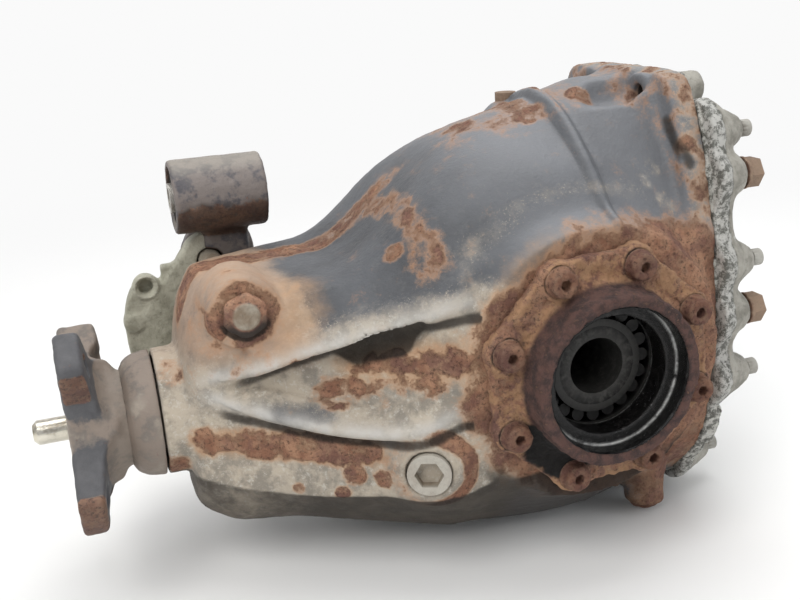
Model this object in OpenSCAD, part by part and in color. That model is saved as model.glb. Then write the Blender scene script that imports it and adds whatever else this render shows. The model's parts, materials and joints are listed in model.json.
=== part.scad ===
// Rear axle drive: a hypoid crown wheel and pinion with a bevel differential,
// in a cast housing with a rear cover, two side covers and a front mount.
// Millimetres. X points to the rear cover, Y to the right-hand output, Z up.
// Every module draws about the middle of the axle, in the plane of the pinion's axis.
// placed() then carries it to the part's own frame, whose origin is also on the
// axle axis, in the middle of the left output's seal seat.
// The pinion's axis runs along X, below the axle axis by the hypoid offset.

/* [Housing] */
// Outer radius of the bell around the crown wheel
bell_r = 118; // [116:1:122]
// Distance from the axle axis forward to the end of the nose
nose_len = 227; // [226:1:230]
// Distance from the centre plane to each output opening's face
output_y = 129; // [128:1:131]
// Distance from the axle axis back to the rear cover joint
joint_x = 85; // [84:1:88]
// Drop of the pinion axis below the axle axis
hypoid_offset = 22; // [20:0.5:23]

/* [Outputs] */
// Radius of the seal seat in each output opening
seal_seat_r = 40; // [38:0.5:40]
// Radius of the side cover bolt circle
side_bolt_circle_r = 60; // [59:0.5:61]
// Number of bolts in each side cover
side_bolt_count = 8; // [6:1:8]

/* [Input] */
// Radius of the input flange's bolt circle
flange_bolt_circle_r = 50; // [49:1:52]
// Radius to the tips of the input flange's arms
flange_tip_r = 66; // [65:1:69]
// Number of arms on the input flange
flange_arms = 4; // [3:1:4]
// Radius of the centring pin
centring_pin_r = 7; // [6:0.5:8]

/* [Gears] */
// Teeth on the crown wheel
crown_teeth = 37; // [37:1:39]
// Teeth on the drive pinion
pinion_teeth = 12; // [12:1:13]

/* [Front mount] */
// Outer radius of the mount eye
eye_r = 22.5; // [21:0.5:24]
// Length of the mount eye
eye_len = 54; // [50:1:56]

/* [Hidden] */

$fn = 64;
gap = 0.05;                 // clearance between pieces that only touch
pinion_z = -hypoid_offset;

// Differential gears
side_gear_teeth = 16;
spider_teeth = 10;

// Rear cover joint
flange_t = 16;
screw_grip = 14;             // depth of the cover's screws in the housing
sealant_t = 0.6;
cover_flange_t = 11;
cover_x = joint_x + sealant_t;
cover_back_x = joint_x + 40;
cover_mid_z = 16;
joint_corners = [
    [48, 150], [60, 146], [72, 118], [82, 92], [88, 45], [88, -36],
    [84, -68], [66, -92], [44, -114]];
cover_bolt_places = [[61, 112], [77, 38], [77, -31], [40, -98]];
mount_bolt_places = [[71, 88], [79, 8]];
ear_hole_places = [[30, 134]];
cover_boss_len = 30;
mount_boss_len = 25;
ear_boss_len = 24;

// Side covers
side_seat_y = output_y - 27;        // face of the housing that carries a side cover
side_plate_t = 9;
collar_r = seal_seat_r + 7;
side_plate_r = side_bolt_circle_r + 11;
spigot_r = 50;
shoulder_r = seal_seat_r - 7;
cavity_y = side_seat_y - 26;
seal_seat_len = 11;
cavity_r = bell_r - 14;

// Bearings: outer radius, bore radius, width
side_bearing = [seal_seat_r < 40 ? 40 : seal_seat_r, 22.5, 20];
head_bearing = [40, 20, 24];
tail_bearing = [31, 15, 18];
side_bearing_y = side_seat_y - 18;  // inner face of a side bearing
head_x = -106;                      // rear face of the pinion head bearing
tail_x = -188;                      // rear face of the pinion tail bearing
roller_tilt = 12;
roller_taper = 1.5;

// Gear sets: [wheel teeth, pinion teeth, offset, wheel cone angle, cone apex shift,
//   wheel inner radius, wheel outer radius, pressure angle of the + and - flank,
//   wheel addendum, wheel dedendum, wheel tooth share of its pitch, backlash in degrees]
// Addendum and dedendum are fractions of the cone distance.
HYPOID = [crown_teeth, pinion_teeth, hypoid_offset, 71, 2, 71, 97, 16, 32,
          0.033, 0.066, 0.56, 0.6];
BEVEL = [side_gear_teeth, spider_teeth, 0, atan(side_gear_teeth / spider_teeth), 0,
         19.5, 31, 24, 24, 0.07, 0.115, 0.94, 0.7];
crown_back_y = 50;
side_gear_back_y = 33;
spider_back_z = 38.5;
cross_pin_r = 8;

// ---------------------------------------------------------------- helpers

module x_cyl(r, x0, x1) {
    translate([x0, 0, 0]) rotate([0, 90, 0]) cylinder(r = r, h = x1 - x0);
}

module y_cyl(r, y0, y1) {
    translate([0, y0, 0]) rotate([-90, 0, 0]) cylinder(r = r, h = y1 - y0);
}

// A profile of [radius, position] turned about the X axis
module x_turned(profile) {
    rotate([0, 90, 0]) rotate_extrude() polygon(profile);
}

// A profile of [radius, position] turned about the Y axis
module y_turned(profile) {
    rotate([-90, 0, 0]) rotate_extrude() polygon(profile);
}

module on_pinion_axis() {
    translate([0, 0, pinion_z]) children();
}

// Places the children at [y, z] spots, on both sides of the centre plane
module both_sides(places) {
    for (p = places, side = [-1, 1]) translate([0, side * p[0], p[1]]) children();
}

module right_side() {
    children();
}

module left_side() {
    mirror([0, 1, 0]) children();
}

// Points of the rear joint's outline, moved in by d
function joint_outline(d) = [
    for (i = [0 : len(joint_corners) - 1]) inset_corner(joint_corners[i], d),
    for (i = [len(joint_corners) - 1 : -1 : 0])
        let(c = inset_corner(joint_corners[i], d)) [-c[0], c[1]]];

function inset_corner(c, d) =
    [c[0] - 0.95 * d, c[1] - (c[1] > cover_mid_z + 40 ? d : c[1] < -50 ? -d : 0)];

// A slab with the joint's outline, from x0 to x1
module joint_slab(d, x0, x1) {
    translate([x0, 0, 0]) rotate([90, 0, 90]) linear_extrude(x1 - x0) polygon(joint_outline(d));
}

// ---------------------------------------------------------------- gear teeth

function cone_distance(set, r) = r / sin(set[3]);
function mean_distance(set) = (cone_distance(set, set[5]) + cone_distance(set, set[6])) / 2;
function ratio(set) = set[0] / set[1];
function mean_radius(set) = mean_distance(set) * sin(set[3]);
function mean_y(set) = set[4] + mean_distance(set) * cos(set[3]);
// Angle below the X axis at which the two pitch cones touch
function contact_angle(set) = asin(set[2] / (mean_radius(set) + mean_y(set) / tan(set[3])));
function wheel_direction(set) =
    let(a = contact_angle(set)) [-cos(a), 0, -sin(a)];

// Rolling without crossing slip fixes the spiral angle of the wheel's teeth
function spiral_angle(set) = set[2] == 0 ? 0 :
    let(p = mean_radius(set) * wheel_direction(set) + [0, mean_y(set), 0],
        slip = cross([0, 1, 0], p) - cross([ratio(set), 0, 0], p + [0, 0, set[2]]),
        along = sin(set[3]) * wheel_direction(set) + [0, cos(set[3]), 0],
        round = cross([0, 1, 0], p) / mean_radius(set))
    atan2(slip * round, slip * along);

function turn_y(p, a) = [p[0] * cos(a) + p[2] * sin(a), p[1], -p[0] * sin(a) + p[2] * cos(a)];
function turn_x(p, a) = [p[0], p[1] * cos(a) - p[2] * sin(a), p[1] * sin(a) + p[2] * cos(a)];
function deg(radians) = radians * 180 / PI;
function unit(v) = v / norm(v);

// A point on a wheel tooth's flank: side is 1 or -1, u the cone distance,
// h the height above the pitch cone as a fraction of u
function wheel_point(set, side, u, h) =
    let(cone = set[3],
        r = u * sin(cone) - h * u * cos(cone),
        y = set[4] + u * cos(cone) - h * u * sin(cone),
        half_tooth = 2 * PI * sin(cone) / (4 * set[0]) * set[11],
        flank_angle = side > 0 ? set[7] : set[8],
        swirl = tan(spiral_angle(set)) / sin(cone) * ln(u / mean_distance(set)),
        around = swirl + side * (half_tooth - h * tan(flank_angle)) / sin(cone))
    turn_y(r * wheel_direction(set) + [0, y, 0], deg(around));

function wheel_normal(set, side, u, h) =
    let(e = 0.001)
    unit(cross(wheel_point(set, side, u + e, h) - wheel_point(set, side, u - e, h),
               wheel_point(set, side, u, h + e) - wheel_point(set, side, u, h - e)));

function near_zero(a, b) =
    let(p = a - 360 * round(a / 360), q = b - 360 * round(b / 360)) abs(p) < abs(q) ? p : q;

// Wheel angle at which a flank point touches the pinion, from the law of gearing
function contact_turn(set, side, u, h) =
    let(p = wheel_point(set, side, u, h),
        n = wheel_normal(set, side, u, h),
        c = n[1] * p[2] - p[1] * n[2],
        s = p[1] * n[0] - n[1] * p[0],
        k = -((n[0] * p[2] - n[2] * p[0]) / ratio(set) + n[1] * set[2]),
        base = atan2(s, c),
        span = acos(k / norm([c, s])))
    near_zero(base + span, base - span);

// The point of the pinion's flank that touches a wheel flank point
function pinion_point(set, side, u, h) =
    let(turn = contact_turn(set, side, u, h),
        p = turn_y(wheel_point(set, side, u, h), turn) + [0, 0, set[2]],
        half_pitch = 180 / set[1])
    turn_x(p, -ratio(set) * turn - side * (half_pitch - set[12]));

function spread(a, b, n) = [for (i = [0 : n]) a + (b - a) * i / n];

// Quads that join rings of points, each ring having count points
function ring_faces(rings, count) = [
    for (i = [0 : rings - 2], j = [0 : count - 1])
        [i * count + j, i * count + (j + 1) % count,
         (i + 1) * count + (j + 1) % count, (i + 1) * count + j]];
function as_triangles(quads) = [
    for (q = quads) each [[q[0], q[1], q[2]], [q[0], q[2], q[3]]]];
function turned_over(faces) = [for (f = faces) [f[0], f[2], f[1]]];

// The toothed face of a wheel, down to a flat back at base_y
module wheel_teeth(set, base_y) {
    steps = set[2] == 0 ? 1 : 4;
    root = -set[10];
    pitch = 360 / set[0];
    distances = spread(cone_distance(set, set[5]), cone_distance(set, set[6]), steps);
    tooth = [[-1, root], [-1, set[9]], [1, set[9]], [1, root]];
    count = len(tooth) * set[0];
    face_rings = [
        for (u = distances) [
            for (i = [0 : set[0] - 1], t = tooth)
                turn_y(wheel_point(set, t[0], u, t[1]), (i + 0.5) * pitch)]];
    rings = concat(
        [[for (p = face_rings[0]) [p[0], base_y, p[2]]]],
        face_rings,
        [[for (p = face_rings[steps]) [p[0], base_y, p[2]]]]);
    last = len(rings);
    closing = [for (j = [0 : count - 1])
        [(last - 1) * count + j, (last - 1) * count + (j + 1) % count,
         (j + 1) % count, j]];
    polyhedron([for (ring = rings) each ring],
               turned_over(as_triangles(concat(ring_faces(last, count), closing))));
}

// The toothed body of a pinion, closed at both ends on its own axis
module pinion_teeth_body(set) {
    steps = set[2] == 0 ? 1 : 4;
    rows = 4;
    top_clearance = 0.018;
    root_clearance = set[2] == 0 ? 0.8 : 1.5;
    pitch = 360 / set[1];
    distances = spread(cone_distance(set, set[5]), cone_distance(set, set[6]), steps);
    heights = spread(-set[10] + top_clearance, set[9] - 0.0005, rows);
    per_side = rows + 2;
    count = 2 * per_side * set[1];
    flanks = [for (u = distances) [for (side = [1, -1]) flank_column(set, side, u, heights,
        root_clearance)]];
    rings = [
        for (f = flanks) [
            for (i = [0 : set[1] - 1], j = [0 : 2 * per_side - 1])
                turn_x(j < per_side ? f[0][per_side - 1 - j] : f[1][j - per_side], i * pitch)]];
    total = (steps + 1) * count;
    end_dish = 2.5;
    inner_x = flanks[0][0][rows + 1][0] - end_dish;
    outer_x = flanks[steps][0][rows + 1][0] + end_dish;
    points = concat([for (ring = rings) each ring], [[inner_x, 0, 0], [outer_x, 0, 0]]);
    inner_cap = [for (j = [0 : count - 1]) [total, (j + 1) % count, j]];
    outer_cap = [for (j = [0 : count - 1])
        [total + 1, steps * count + j, steps * count + (j + 1) % count]];
    polyhedron(points, concat(as_triangles(ring_faces(steps + 1, count)), inner_cap, outer_cap));
}

// One flank's points from tip to root, then one more point below the root
function flank_column(set, side, u, heights, clearance) =
    let(column = [for (h = heights) pinion_point(set, side, u, h)],
        foot = column[len(column) - 1],
        r = norm([foot[1], foot[2]]),
        k = (r - clearance) / r)
    concat(column, [[foot[0], foot[1] * k, foot[2] * k]]);

// ---------------------------------------------------------------- bearings

function bearing_mean_r(b) = (b[0] + b[1]) / 2;
function apex_distance(b) = bearing_mean_r(b) / tan(roller_tilt);
function race_r(b, s, angle) = (s + apex_distance(b)) * tan(angle);
function roller_len(b) = 0.58 * b[2];
function roller_r(b) = bearing_mean_r(b) / sin(roller_tilt) * tan(roller_taper);
function rib_s(b) = roller_len(b) / 2 * cos(roller_tilt) + roller_r(b) * sin(roller_tilt) + 0.5;

// Outer race, centred, wide end towards +X
module bearing_cup(b) {
    half = b[2] / 2;
    angle = roller_tilt + roller_taper;
    x_turned([[race_r(b, -half, angle), -half], [b[0] - gap, -half],
              [b[0] - gap, half], [race_r(b, half, angle), half]]);
}

// Inner race with its two ribs, centred, wide end towards +X
module bearing_cone(b) {
    half = b[2] / 2;
    angle = roller_tilt - roller_taper;
    rib = rib_s(b);
    bore = b[1] + gap;
    x_turned([[bore, -half], [race_r(b, -half, angle) + 1.2, -half],
              [race_r(b, -rib, angle) + 1.2, -rib], [race_r(b, -rib, angle), -rib],
              [race_r(b, rib, angle), rib], [race_r(b, rib, angle) + 2.4, rib],
              [race_r(b, rib, angle) + 2.4, half], [bore, half]]);
}

// Ring of tapered rollers, centred, wide end towards +X
module bearing_rollers(b) {
    slack = 0.06;
    middle = bearing_mean_r(b) / sin(roller_tilt);
    start = middle - roller_len(b) / 2;
    end = middle + roller_len(b) / 2;
    count = floor(PI * bearing_mean_r(b) / (1.2 * roller_r(b)));
    for (i = [0 : count - 1])
        rotate([i * 360 / count, 0, 0])
        translate([-apex_distance(b), 0, 0])
        rotate([0, 90 - roller_tilt, 0])
        translate([0, 0, start])
        cylinder(r1 = start * tan(roller_taper) - slack, r2 = end * tan(roller_taper) - slack,
                 h = roller_len(b), $fn = 24);
}

// Puts a bearing piece at the head, the tail or the right-hand side
module at_head() {
    on_pinion_axis() translate([head_x - head_bearing[2] / 2, 0, 0]) children();
}

module at_tail() {
    on_pinion_axis() translate([tail_x - tail_bearing[2] / 2, 0, 0]) mirror([1, 0, 0]) children();
}

module at_side() {
    translate([0, side_bearing_y + side_bearing[2] / 2 - 2, 0]) rotate([0, 0, -90]) children();
}

// ---------------------------------------------------------------- housing

// Four corner discs of one cross-section of the casting, at x
module section(x, half_w, z_low, z_high, r) {
    for (side = [-1, 1], z = [z_low + r, z_high - r])
        translate([x, side * (half_w - r), z]) rotate([0, 90, 0])
        cylinder(r = r, h = 2, $fn = 32);
}

module nose_section() {
    on_pinion_axis() translate([-nose_len, 0, 0]) rotate([0, 90, 0])
        cylinder(r = 36.5, h = 6, $fn = 48);
}

// The bell around the crown wheel, with a sloping shoulder on each side
module bell() {
    shoulder_y = cavity_y - 4;
    y_cyl(bell_r, -shoulder_y, shoulder_y, $fn = 72);
    y_cyl(side_plate_r + 16, 2 - side_seat_y, side_seat_y - 2, $fn = 48);
}

module housing_shell() {
    hull() {
        nose_section();
        section(-182, 50, -70, 58, 18);
    }
    hull() {
        section(-182, 50, -70, 58, 18);
        section(-120, 76, -88, 62, 26);
    }
    hull() {
        section(-120, 76, -88, 62, 26);
        section(-60, 100, -104, 92, 34);
    }
    hull() {
        section(-60, 96, -104, 92, 34);
        bell();
    }
    hull() {
        bell();
        joint_slab(7, joint_x - flange_t, joint_x - flange_t + 1);
    }
    joint_slab(0, joint_x - flange_t, joint_x);
    both_sides([[side_seat_y - 8, 0]]) rotate([-90, 0, 0]) translate([0, 0, -8])
        cylinder(r = side_plate_r + 2, h = 8 + 8);
}

// Pads that stand on the casting: cross bolt, plugs, breather
module housing_pads() {
    cross_bolt_place() y_cyl(19, -cross_pad_y, bracket_y);
    fill_plug_place() translate([0, 0, -26]) cylinder(r = 18, h = 28);
    drain_plug_place() translate([0, 0, -18]) cylinder(r = 12, h = 20);
    breather_place() translate([0, 0, -32]) cylinder(r = 8, h = 34);
}

module housing_bores() {
    translate([joint_x, -bell_r, -bell_r]) cube([bell_r, 2 * bell_r, 3 * bell_r]);
    y_cyl(cavity_r, -cavity_y, cavity_y);
    hull() {
        joint_slab(50, 20, 21);
        joint_slab(23, joint_x, joint_x + 1);
    }
    y_cyl(spigot_r + gap, -side_seat_y - 1, side_seat_y + 1);
    for (side = [-1, 1]) translate([0, side * (side_seat_y + 10), 0])
        y_cyl(side_plate_r + 4, -10, 10);
    side_bolt_holes(-26, 4.2);
    on_pinion_axis() {
        x_cyl(47, head_x, -50);
        x_cyl(head_bearing[0], head_x - head_bearing[2], head_x + 1);
        x_cyl(26, tail_x - 1, head_x - head_bearing[2] + 1);
        x_cyl(tail_bearing[0], tail_x - tail_bearing[2], tail_x);
        x_cyl(32, -nose_len - 1, tail_x - tail_bearing[2] + 0.01);
    }
    translate([joint_x - 26, 0, 0]) rotate([90, 0, 90]) {
        both_flat(cover_bolt_places) cylinder(r = 3.2, h = 30);
        both_flat(mount_bolt_places) cylinder(r = 5.5, h = 30);
        both_flat(ear_hole_places) translate([0, 0, -20]) cylinder(r = 5.5, h = 50);
    }
    cross_bolt_place() {
        y_cyl(8.2, -80, 80);
        y_cyl(19, -80, -cross_pad_y);
    }
    fill_plug_place() {
        translate([0, 0, -50]) cylinder(r = 10 + gap, h = 60);
        translate([0, 0, 2]) cylinder(r = 14, h = 10);
    }
    drain_plug_place() translate([0, 0, -40]) cylinder(r = 6 + gap, h = 50);
    breather_place() translate([0, 0, -48]) cylinder(r = 4 + gap, h = 60);
}

module both_flat(places) {
    for (p = places, side = [-1, 1]) translate([side * p[0], p[1], 0]) children();
}

// Holes of the side cover's bolt circle on both sides, from y0 outside the seat inwards
module side_bolt_holes(depth, r) {
    for (side = [0, 1]) mirror([0, side, 0]) side_bolt_circle()
        translate([0, 0, depth]) cylinder(r = r, h = -depth + 20, $fn = 24);
}

// Children stand on the side cover's seat, along the outward normal
module side_bolt_circle() {
    for (i = [0 : side_bolt_count - 1])
        translate([0, side_seat_y, 0]) rotate([-90, 0, 0]) rotate(26 + i * 360 / side_bolt_count)
        translate([side_bolt_circle_r, 0, 0]) children();
}

module cross_bolt_place() {
    translate([-180, 0, 46]) children();
}

module fill_plug_place() {
    translate([-96, -93, -46]) rotate([0, 0, -24.3]) rotate([90, 0, 0]) children();
}

module drain_plug_place() {
    translate([56, -62, -112]) rotate([180, 0, 0]) children();
}

module breather_place() {
    translate([11, 32, 127]) children();
}

module housing() {
    color([0.5, 0.44, 0.38])
    difference() {
        union() {
            housing_shell();
            housing_pads();
        }
        housing_bores();
    }
}

// ---------------------------------------------------------------- rear cover

module cover_bulge(d, back) {
    hull() {
        joint_slab(16 + d, cover_x + 2, cover_x + 3);
        joint_slab(44 + d, back - 1, back);
    }
}

// Tapered bosses that carry the heads of the cover's screws, and those of the ear holes
module cover_bosses() {
    translate([cover_x, 0, 0]) rotate([90, 0, 90]) {
        both_flat(cover_bolt_places) cylinder(r1 = 13, r2 = 6.5, h = cover_boss_len);
        both_flat(mount_bolt_places) cylinder(r1 = 16, r2 = 10.5, h = mount_boss_len);
        both_flat(ear_hole_places) cylinder(r1 = 11, r2 = 8, h = ear_boss_len);
    }
}

module rear_cover() {
    color([0.66, 0.66, 0.64])
    difference() {
        union() {
            joint_slab(0.5, cover_x, cover_x + cover_flange_t);
            cover_bulge(0, cover_back_x);
            intersection() {
                cover_bosses();
                joint_slab(0.5, cover_x, cover_back_x);
            }
        }
        difference() {
            cover_bulge(7, cover_back_x - 6);
            cover_bosses();
        }
        joint_slab(23, cover_x - 1, cover_x + 3);
        translate([cover_x - 1, 0, 0]) rotate([90, 0, 90]) {
            both_flat(cover_bolt_places) cylinder(r = 3.4, h = 60);
            both_flat(mount_bolt_places) cylinder(r = 5.5, h = 60);
            both_flat(ear_hole_places) cylinder(r = 5.5, h = 60);
        }
    }
}

module cover_sealant() {
    color([0.75, 0.76, 0.76])
    difference() {
        joint_slab(0.2, joint_x + 0.02, cover_x - 0.02);
        joint_slab(23, joint_x - 1, cover_x + 1);
        translate([joint_x - 1, 0, 0]) rotate([90, 0, 90]) {
            both_flat(cover_bolt_places) cylinder(r = 3.7, h = 5);
            both_flat(mount_bolt_places) cylinder(r = 6, h = 5);
            both_flat(ear_hole_places) cylinder(r = 6, h = 5);
        }
    }
}

// Cap screw, head on the plane z = 0, shank downwards
module socket_screw(shank_r, head_r, head_h, shank_len) {
    difference() {
        union() {
            cylinder(r = head_r, h = head_h);
            translate([0, 0, -shank_len]) cylinder(r = shank_r, h = shank_len + 1);
        }
        translate([0, 0, head_h * 0.4]) cylinder(r = head_r * 0.52, h = head_h, $fn = 6);
    }
}

// Hexagon bolt with a washer face, head on the plane z = 0, shank downwards
module hex_bolt(shank_r, across_flats, head_h, shank_len) {
    cylinder(r = across_flats / 2 + 1.5, h = 1.8);
    cylinder(r = across_flats / 2 / cos(30), h = head_h, $fn = 6);
    translate([0, 0, -shank_len]) cylinder(r = shank_r, h = shank_len + 1);
}

module cover_bolts() {
    color([0.55, 0.54, 0.52])
    translate([cover_x + cover_boss_len + gap, 0, 0]) rotate([90, 0, 90])
        both_flat(cover_bolt_places) socket_screw(3.1, 5, 6, cover_boss_len + screw_grip);
}

module rear_mount_bolts() {
    color([0.42, 0.27, 0.17])
    translate([cover_x + mount_boss_len + gap, 0, 0]) rotate([90, 0, 90])
        both_flat(mount_bolt_places) hex_bolt(5, 16, 10, mount_boss_len + screw_grip);
}

// ---------------------------------------------------------------- side covers

module side_cover() {
    bearing_back = side_bearing_y + side_bearing[2] - 2;
    difference() {
        union() {
            y_cyl(side_plate_r - 6, side_seat_y + gap, side_seat_y + side_plate_t);
            y_cyl(collar_r, side_seat_y + 1, output_y);
            y_cyl(spigot_r, cavity_y + 1, side_seat_y + 1);
            side_bolt_circle() translate([0, 0, gap]) cylinder(r = 11, h = side_plate_t - gap);
        }
        y_cyl(side_bearing[0], cavity_y, bearing_back + 1.02);
        y_cyl(shoulder_r, cavity_y, output_y + 1);
        y_cyl(seal_seat_r, output_y - seal_seat_len, output_y + 1);
        side_bolt_circle() cylinder(r = 4.4, h = 30, $fn = 24);
        translate([0, side_seat_y - 7, 0]) rotate([-90, 0, 0]) rotate_extrude()
            translate([spigot_r - 2, 0]) square([4, 4]);
    }
}

module left_side_cover() {
    color([0.48, 0.3, 0.2]) left_side() side_cover();
}

module right_side_cover() {
    color([0.48, 0.3, 0.2]) right_side() side_cover();
}

module side_cover_bolts() {
    color([0.4, 0.26, 0.18])
    for (side = [0, 1]) mirror([0, side, 0]) side_bolt_circle()
        translate([0, 0, side_plate_t + gap]) socket_screw(4, 8, 8, side_plate_t + 16);
}

module side_cover_orings() {
    color([0.1, 0.1, 0.1])
    for (side = [0, 1]) mirror([0, side, 0]) translate([0, side_seat_y - 5, 0])
        rotate([-90, 0, 0]) rotate_extrude() translate([spigot_r - 1, 0]) circle(r = 0.95);
}

module left_bearing_cup() {
    color([0.75, 0.75, 0.77]) left_side() at_side() mirror([1, 0, 0]) side_cup();
}

module right_bearing_cup() {
    color([0.75, 0.75, 0.77]) right_side() at_side() mirror([1, 0, 0]) side_cup();
}

module side_cup() {
    mirror([1, 0, 0]) bearing_cup(side_bearing);
}

// Selective shim between a side bearing's cup and its cover
module side_shim() {
    back = side_bearing_y + side_bearing[2] - 2;
    y_turned([[shoulder_r + 1, back + 0.02], [side_bearing[0] - gap, back + 0.02],
              [side_bearing[0] - gap, back + 1], [shoulder_r + 1, back + 1]]);
}

module left_shim() {
    color([0.7, 0.7, 0.72]) left_side() side_shim();
}

module right_shim() {
    color([0.7, 0.7, 0.72]) right_side() side_shim();
}

// ---------------------------------------------------------------- plugs and mount

module fill_plug() {
    color([0.62, 0.58, 0.52]) fill_plug_place()
    difference() {
        union() {
            translate([0, 0, 2 + gap]) cylinder(r = 12, h = 4);
            translate([0, 0, -16]) cylinder(r = 10, h = 20);
        }
        translate([0, 0, -6]) cylinder(r = 7 / cos(30), h = 14, $fn = 6);
    }
}

module drain_plug() {
    color([0.42, 0.26, 0.17]) drain_plug_place()
    union() {
        translate([0, 0, 2 + gap]) cylinder(r = 10, h = 2);
        translate([0, 0, 2 + gap]) cylinder(r = 8 / cos(30), h = 8, $fn = 6);
        translate([0, 0, -14]) cylinder(r = 6, h = 18);
    }
}

module breather() {
    color([0.42, 0.28, 0.2]) breather_place()
    difference() {
        union() {
            translate([0, 0, -10]) cylinder(r = 4, h = 14);
            translate([0, 0, 2 + gap]) cylinder(r = 6.5, h = 6);
        }
        translate([0, 0, -11]) cylinder(r = 1.5, h = 16);
    }
}

bracket_y = 62;      // seat of the bracket on the housing's far pad
bracket_t = 11;
cross_pad_y = 57;    // seat of the cross bolt's collar on the near pad
eye_y = 58;          // axis of the mount eye
eye_x = -171.5;
eye_z = 89;
foot_y = bracket_y + bracket_t + gap;
foot_t = 10;

module mount_bracket() {
    color([0.6, 0.61, 0.56])
    difference() {
        union() {
            translate([0, bracket_y + gap, 0]) rotate([90, 0, 0]) mirror([0, 0, 1])
                linear_extrude(bracket_t - gap)
                polygon([[-172, 30], [-184, 62], [-200, 62], [-222, 46], [-233, 40], [-238, 4],
                         [-232, -18], [-205, -34], [-176, -20]]);
            cross_bolt_place() y_cyl(18, bracket_y + gap, bracket_y + bracket_t);
            translate([-231, 0, 13]) y_cyl(5.5, bracket_y - 2, bracket_y + bracket_t);
            translate([-221, 0, 35]) y_cyl(7.5, bracket_y - 2, bracket_y + bracket_t);
            translate([-219, bracket_y + 2, 40]) rotate([0, 28, 0]) cube([28, 5, 12]);
        }
        cross_bolt_place() y_cyl(8.2, 0, 100);
        translate([-221, 0, 35]) y_cyl(4.5, 0, 100);
    }
}

module mount_eye() {
    color([0.36, 0.34, 0.33])
    difference() {
        union() {
            translate([eye_x, eye_y, eye_z]) x_cyl(eye_r, -eye_len / 2, eye_len / 2);
            hull() {
                translate([eye_x - 16, eye_y - 4, eye_z - eye_r + 4]) cube([34, 12, 4]);
                translate([eye_x - 18, foot_y, eye_z - eye_r - 1]) cube([34, foot_t, 4]);
            }
            cross_bolt_place() y_cyl(21, foot_y, foot_y + foot_t);
        }
        translate([eye_x, eye_y, eye_z]) x_cyl(eye_r - 4, -eye_len, eye_len);
        cross_bolt_place() y_cyl(8.2, 0, 100);
    }
}

module mount_rubber() {
    color([0.09, 0.09, 0.09])
    translate([eye_x, eye_y, eye_z]) rotate([0, 90, 0]) rotate_extrude()
        polygon([[9, -eye_len / 2 + 3], [eye_r - 4 - gap, -eye_len / 2 + 1],
                 [eye_r - 4 - gap, eye_len / 2 - 1], [9, eye_len / 2 - 3]]);
}

module mount_sleeve() {
    color([0.6, 0.6, 0.6])
    translate([eye_x, eye_y, eye_z]) rotate([0, 90, 0]) rotate_extrude()
        translate([6.1, -eye_len / 2 - 2]) square([2.85, eye_len + 4]);
}

module cross_bolt() {
    color([0.68, 0.64, 0.58])
    cross_bolt_place() {
        y_cyl(8, -cross_pad_y - 6, foot_y + foot_t + 18);
        y_cyl(11.5, -cross_pad_y - 4, -cross_pad_y - gap);
    }
}

module cross_nut() {
    color([0.45, 0.36, 0.28])
    cross_bolt_place() difference() {
        translate([0, foot_y + foot_t + gap, 0]) rotate([-90, 0, 0])
            cylinder(r = 12 / cos(30), h = 13, $fn = 6);
        y_cyl(8 + gap, 0, 200);
    }
}

// ---------------------------------------------------------------- pinion

spline_r = 14;
shaft_end = -nose_len - 31;
tail_face = tail_x - tail_bearing[2];

module drive_pinion() {
    set = HYPOID;
    color([0.58, 0.57, 0.56]) on_pinion_axis()
    union() {
        pinion_teeth_body(set);
        x_turned([[0, -92], [29, -92], [29, head_x + 2], [head_bearing[1], head_x + 2],
                  [head_bearing[1], head_x - head_bearing[2]],
                  [16.9, head_x - head_bearing[2]], [16.9, tail_x], [tail_bearing[1], tail_x],
                  [tail_bearing[1], tail_face], [spline_r, tail_face],
                  [spline_r, shaft_end], [0, shaft_end]]);
    }
}

module pinion_shim() {
    color([0.7, 0.7, 0.72]) on_pinion_axis()
    x_turned([[head_bearing[1] + gap, head_x + gap], [29, head_x + gap],
              [29, head_x + 2 - gap], [head_bearing[1] + gap, head_x + 2 - gap]]);
}

module pinion_head_cup() {
    color([0.72, 0.72, 0.75]) at_head() bearing_cup(head_bearing);
}

module pinion_head_cone() {
    color([0.75, 0.75, 0.78]) at_head() bearing_cone(head_bearing);
}

module pinion_head_rollers() {
    color([0.8, 0.8, 0.83]) at_head() bearing_rollers(head_bearing);
}

module pinion_tail_cup() {
    color([0.72, 0.72, 0.75]) at_tail() bearing_cup(tail_bearing);
}

module pinion_tail_cone() {
    color([0.75, 0.75, 0.78]) at_tail() bearing_cone(tail_bearing);
}

module pinion_tail_rollers() {
    color([0.8, 0.8, 0.83]) at_tail() bearing_rollers(tail_bearing);
}

// Collapsible sleeve that sets the bearing preload, with its bulge in the middle
module crush_sleeve() {
    x0 = tail_x + gap;
    x1 = head_x - head_bearing[2] - gap;
    mid = (x0 + x1) / 2;
    color([0.6, 0.58, 0.52]) on_pinion_axis()
    x_turned([[17, x0], [21.5, x0], [21.5, mid - 10], [24, mid], [21.5, mid + 10], [21.5, x1],
              [17, x1], [17, mid + 9], [19.5, mid], [17, mid - 9]]);
}

module pinion_oil_seal() {
    color([0.14, 0.13, 0.13]) on_pinion_axis()
    x_turned([[22.05, -nose_len + 2], [32 - gap, -nose_len + 2], [32 - gap, -nose_len + 12],
              [29, -nose_len + 12], [29, -nose_len + 5], [24, -nose_len + 5],
              [22.05, -nose_len + 7]]);
}

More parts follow.
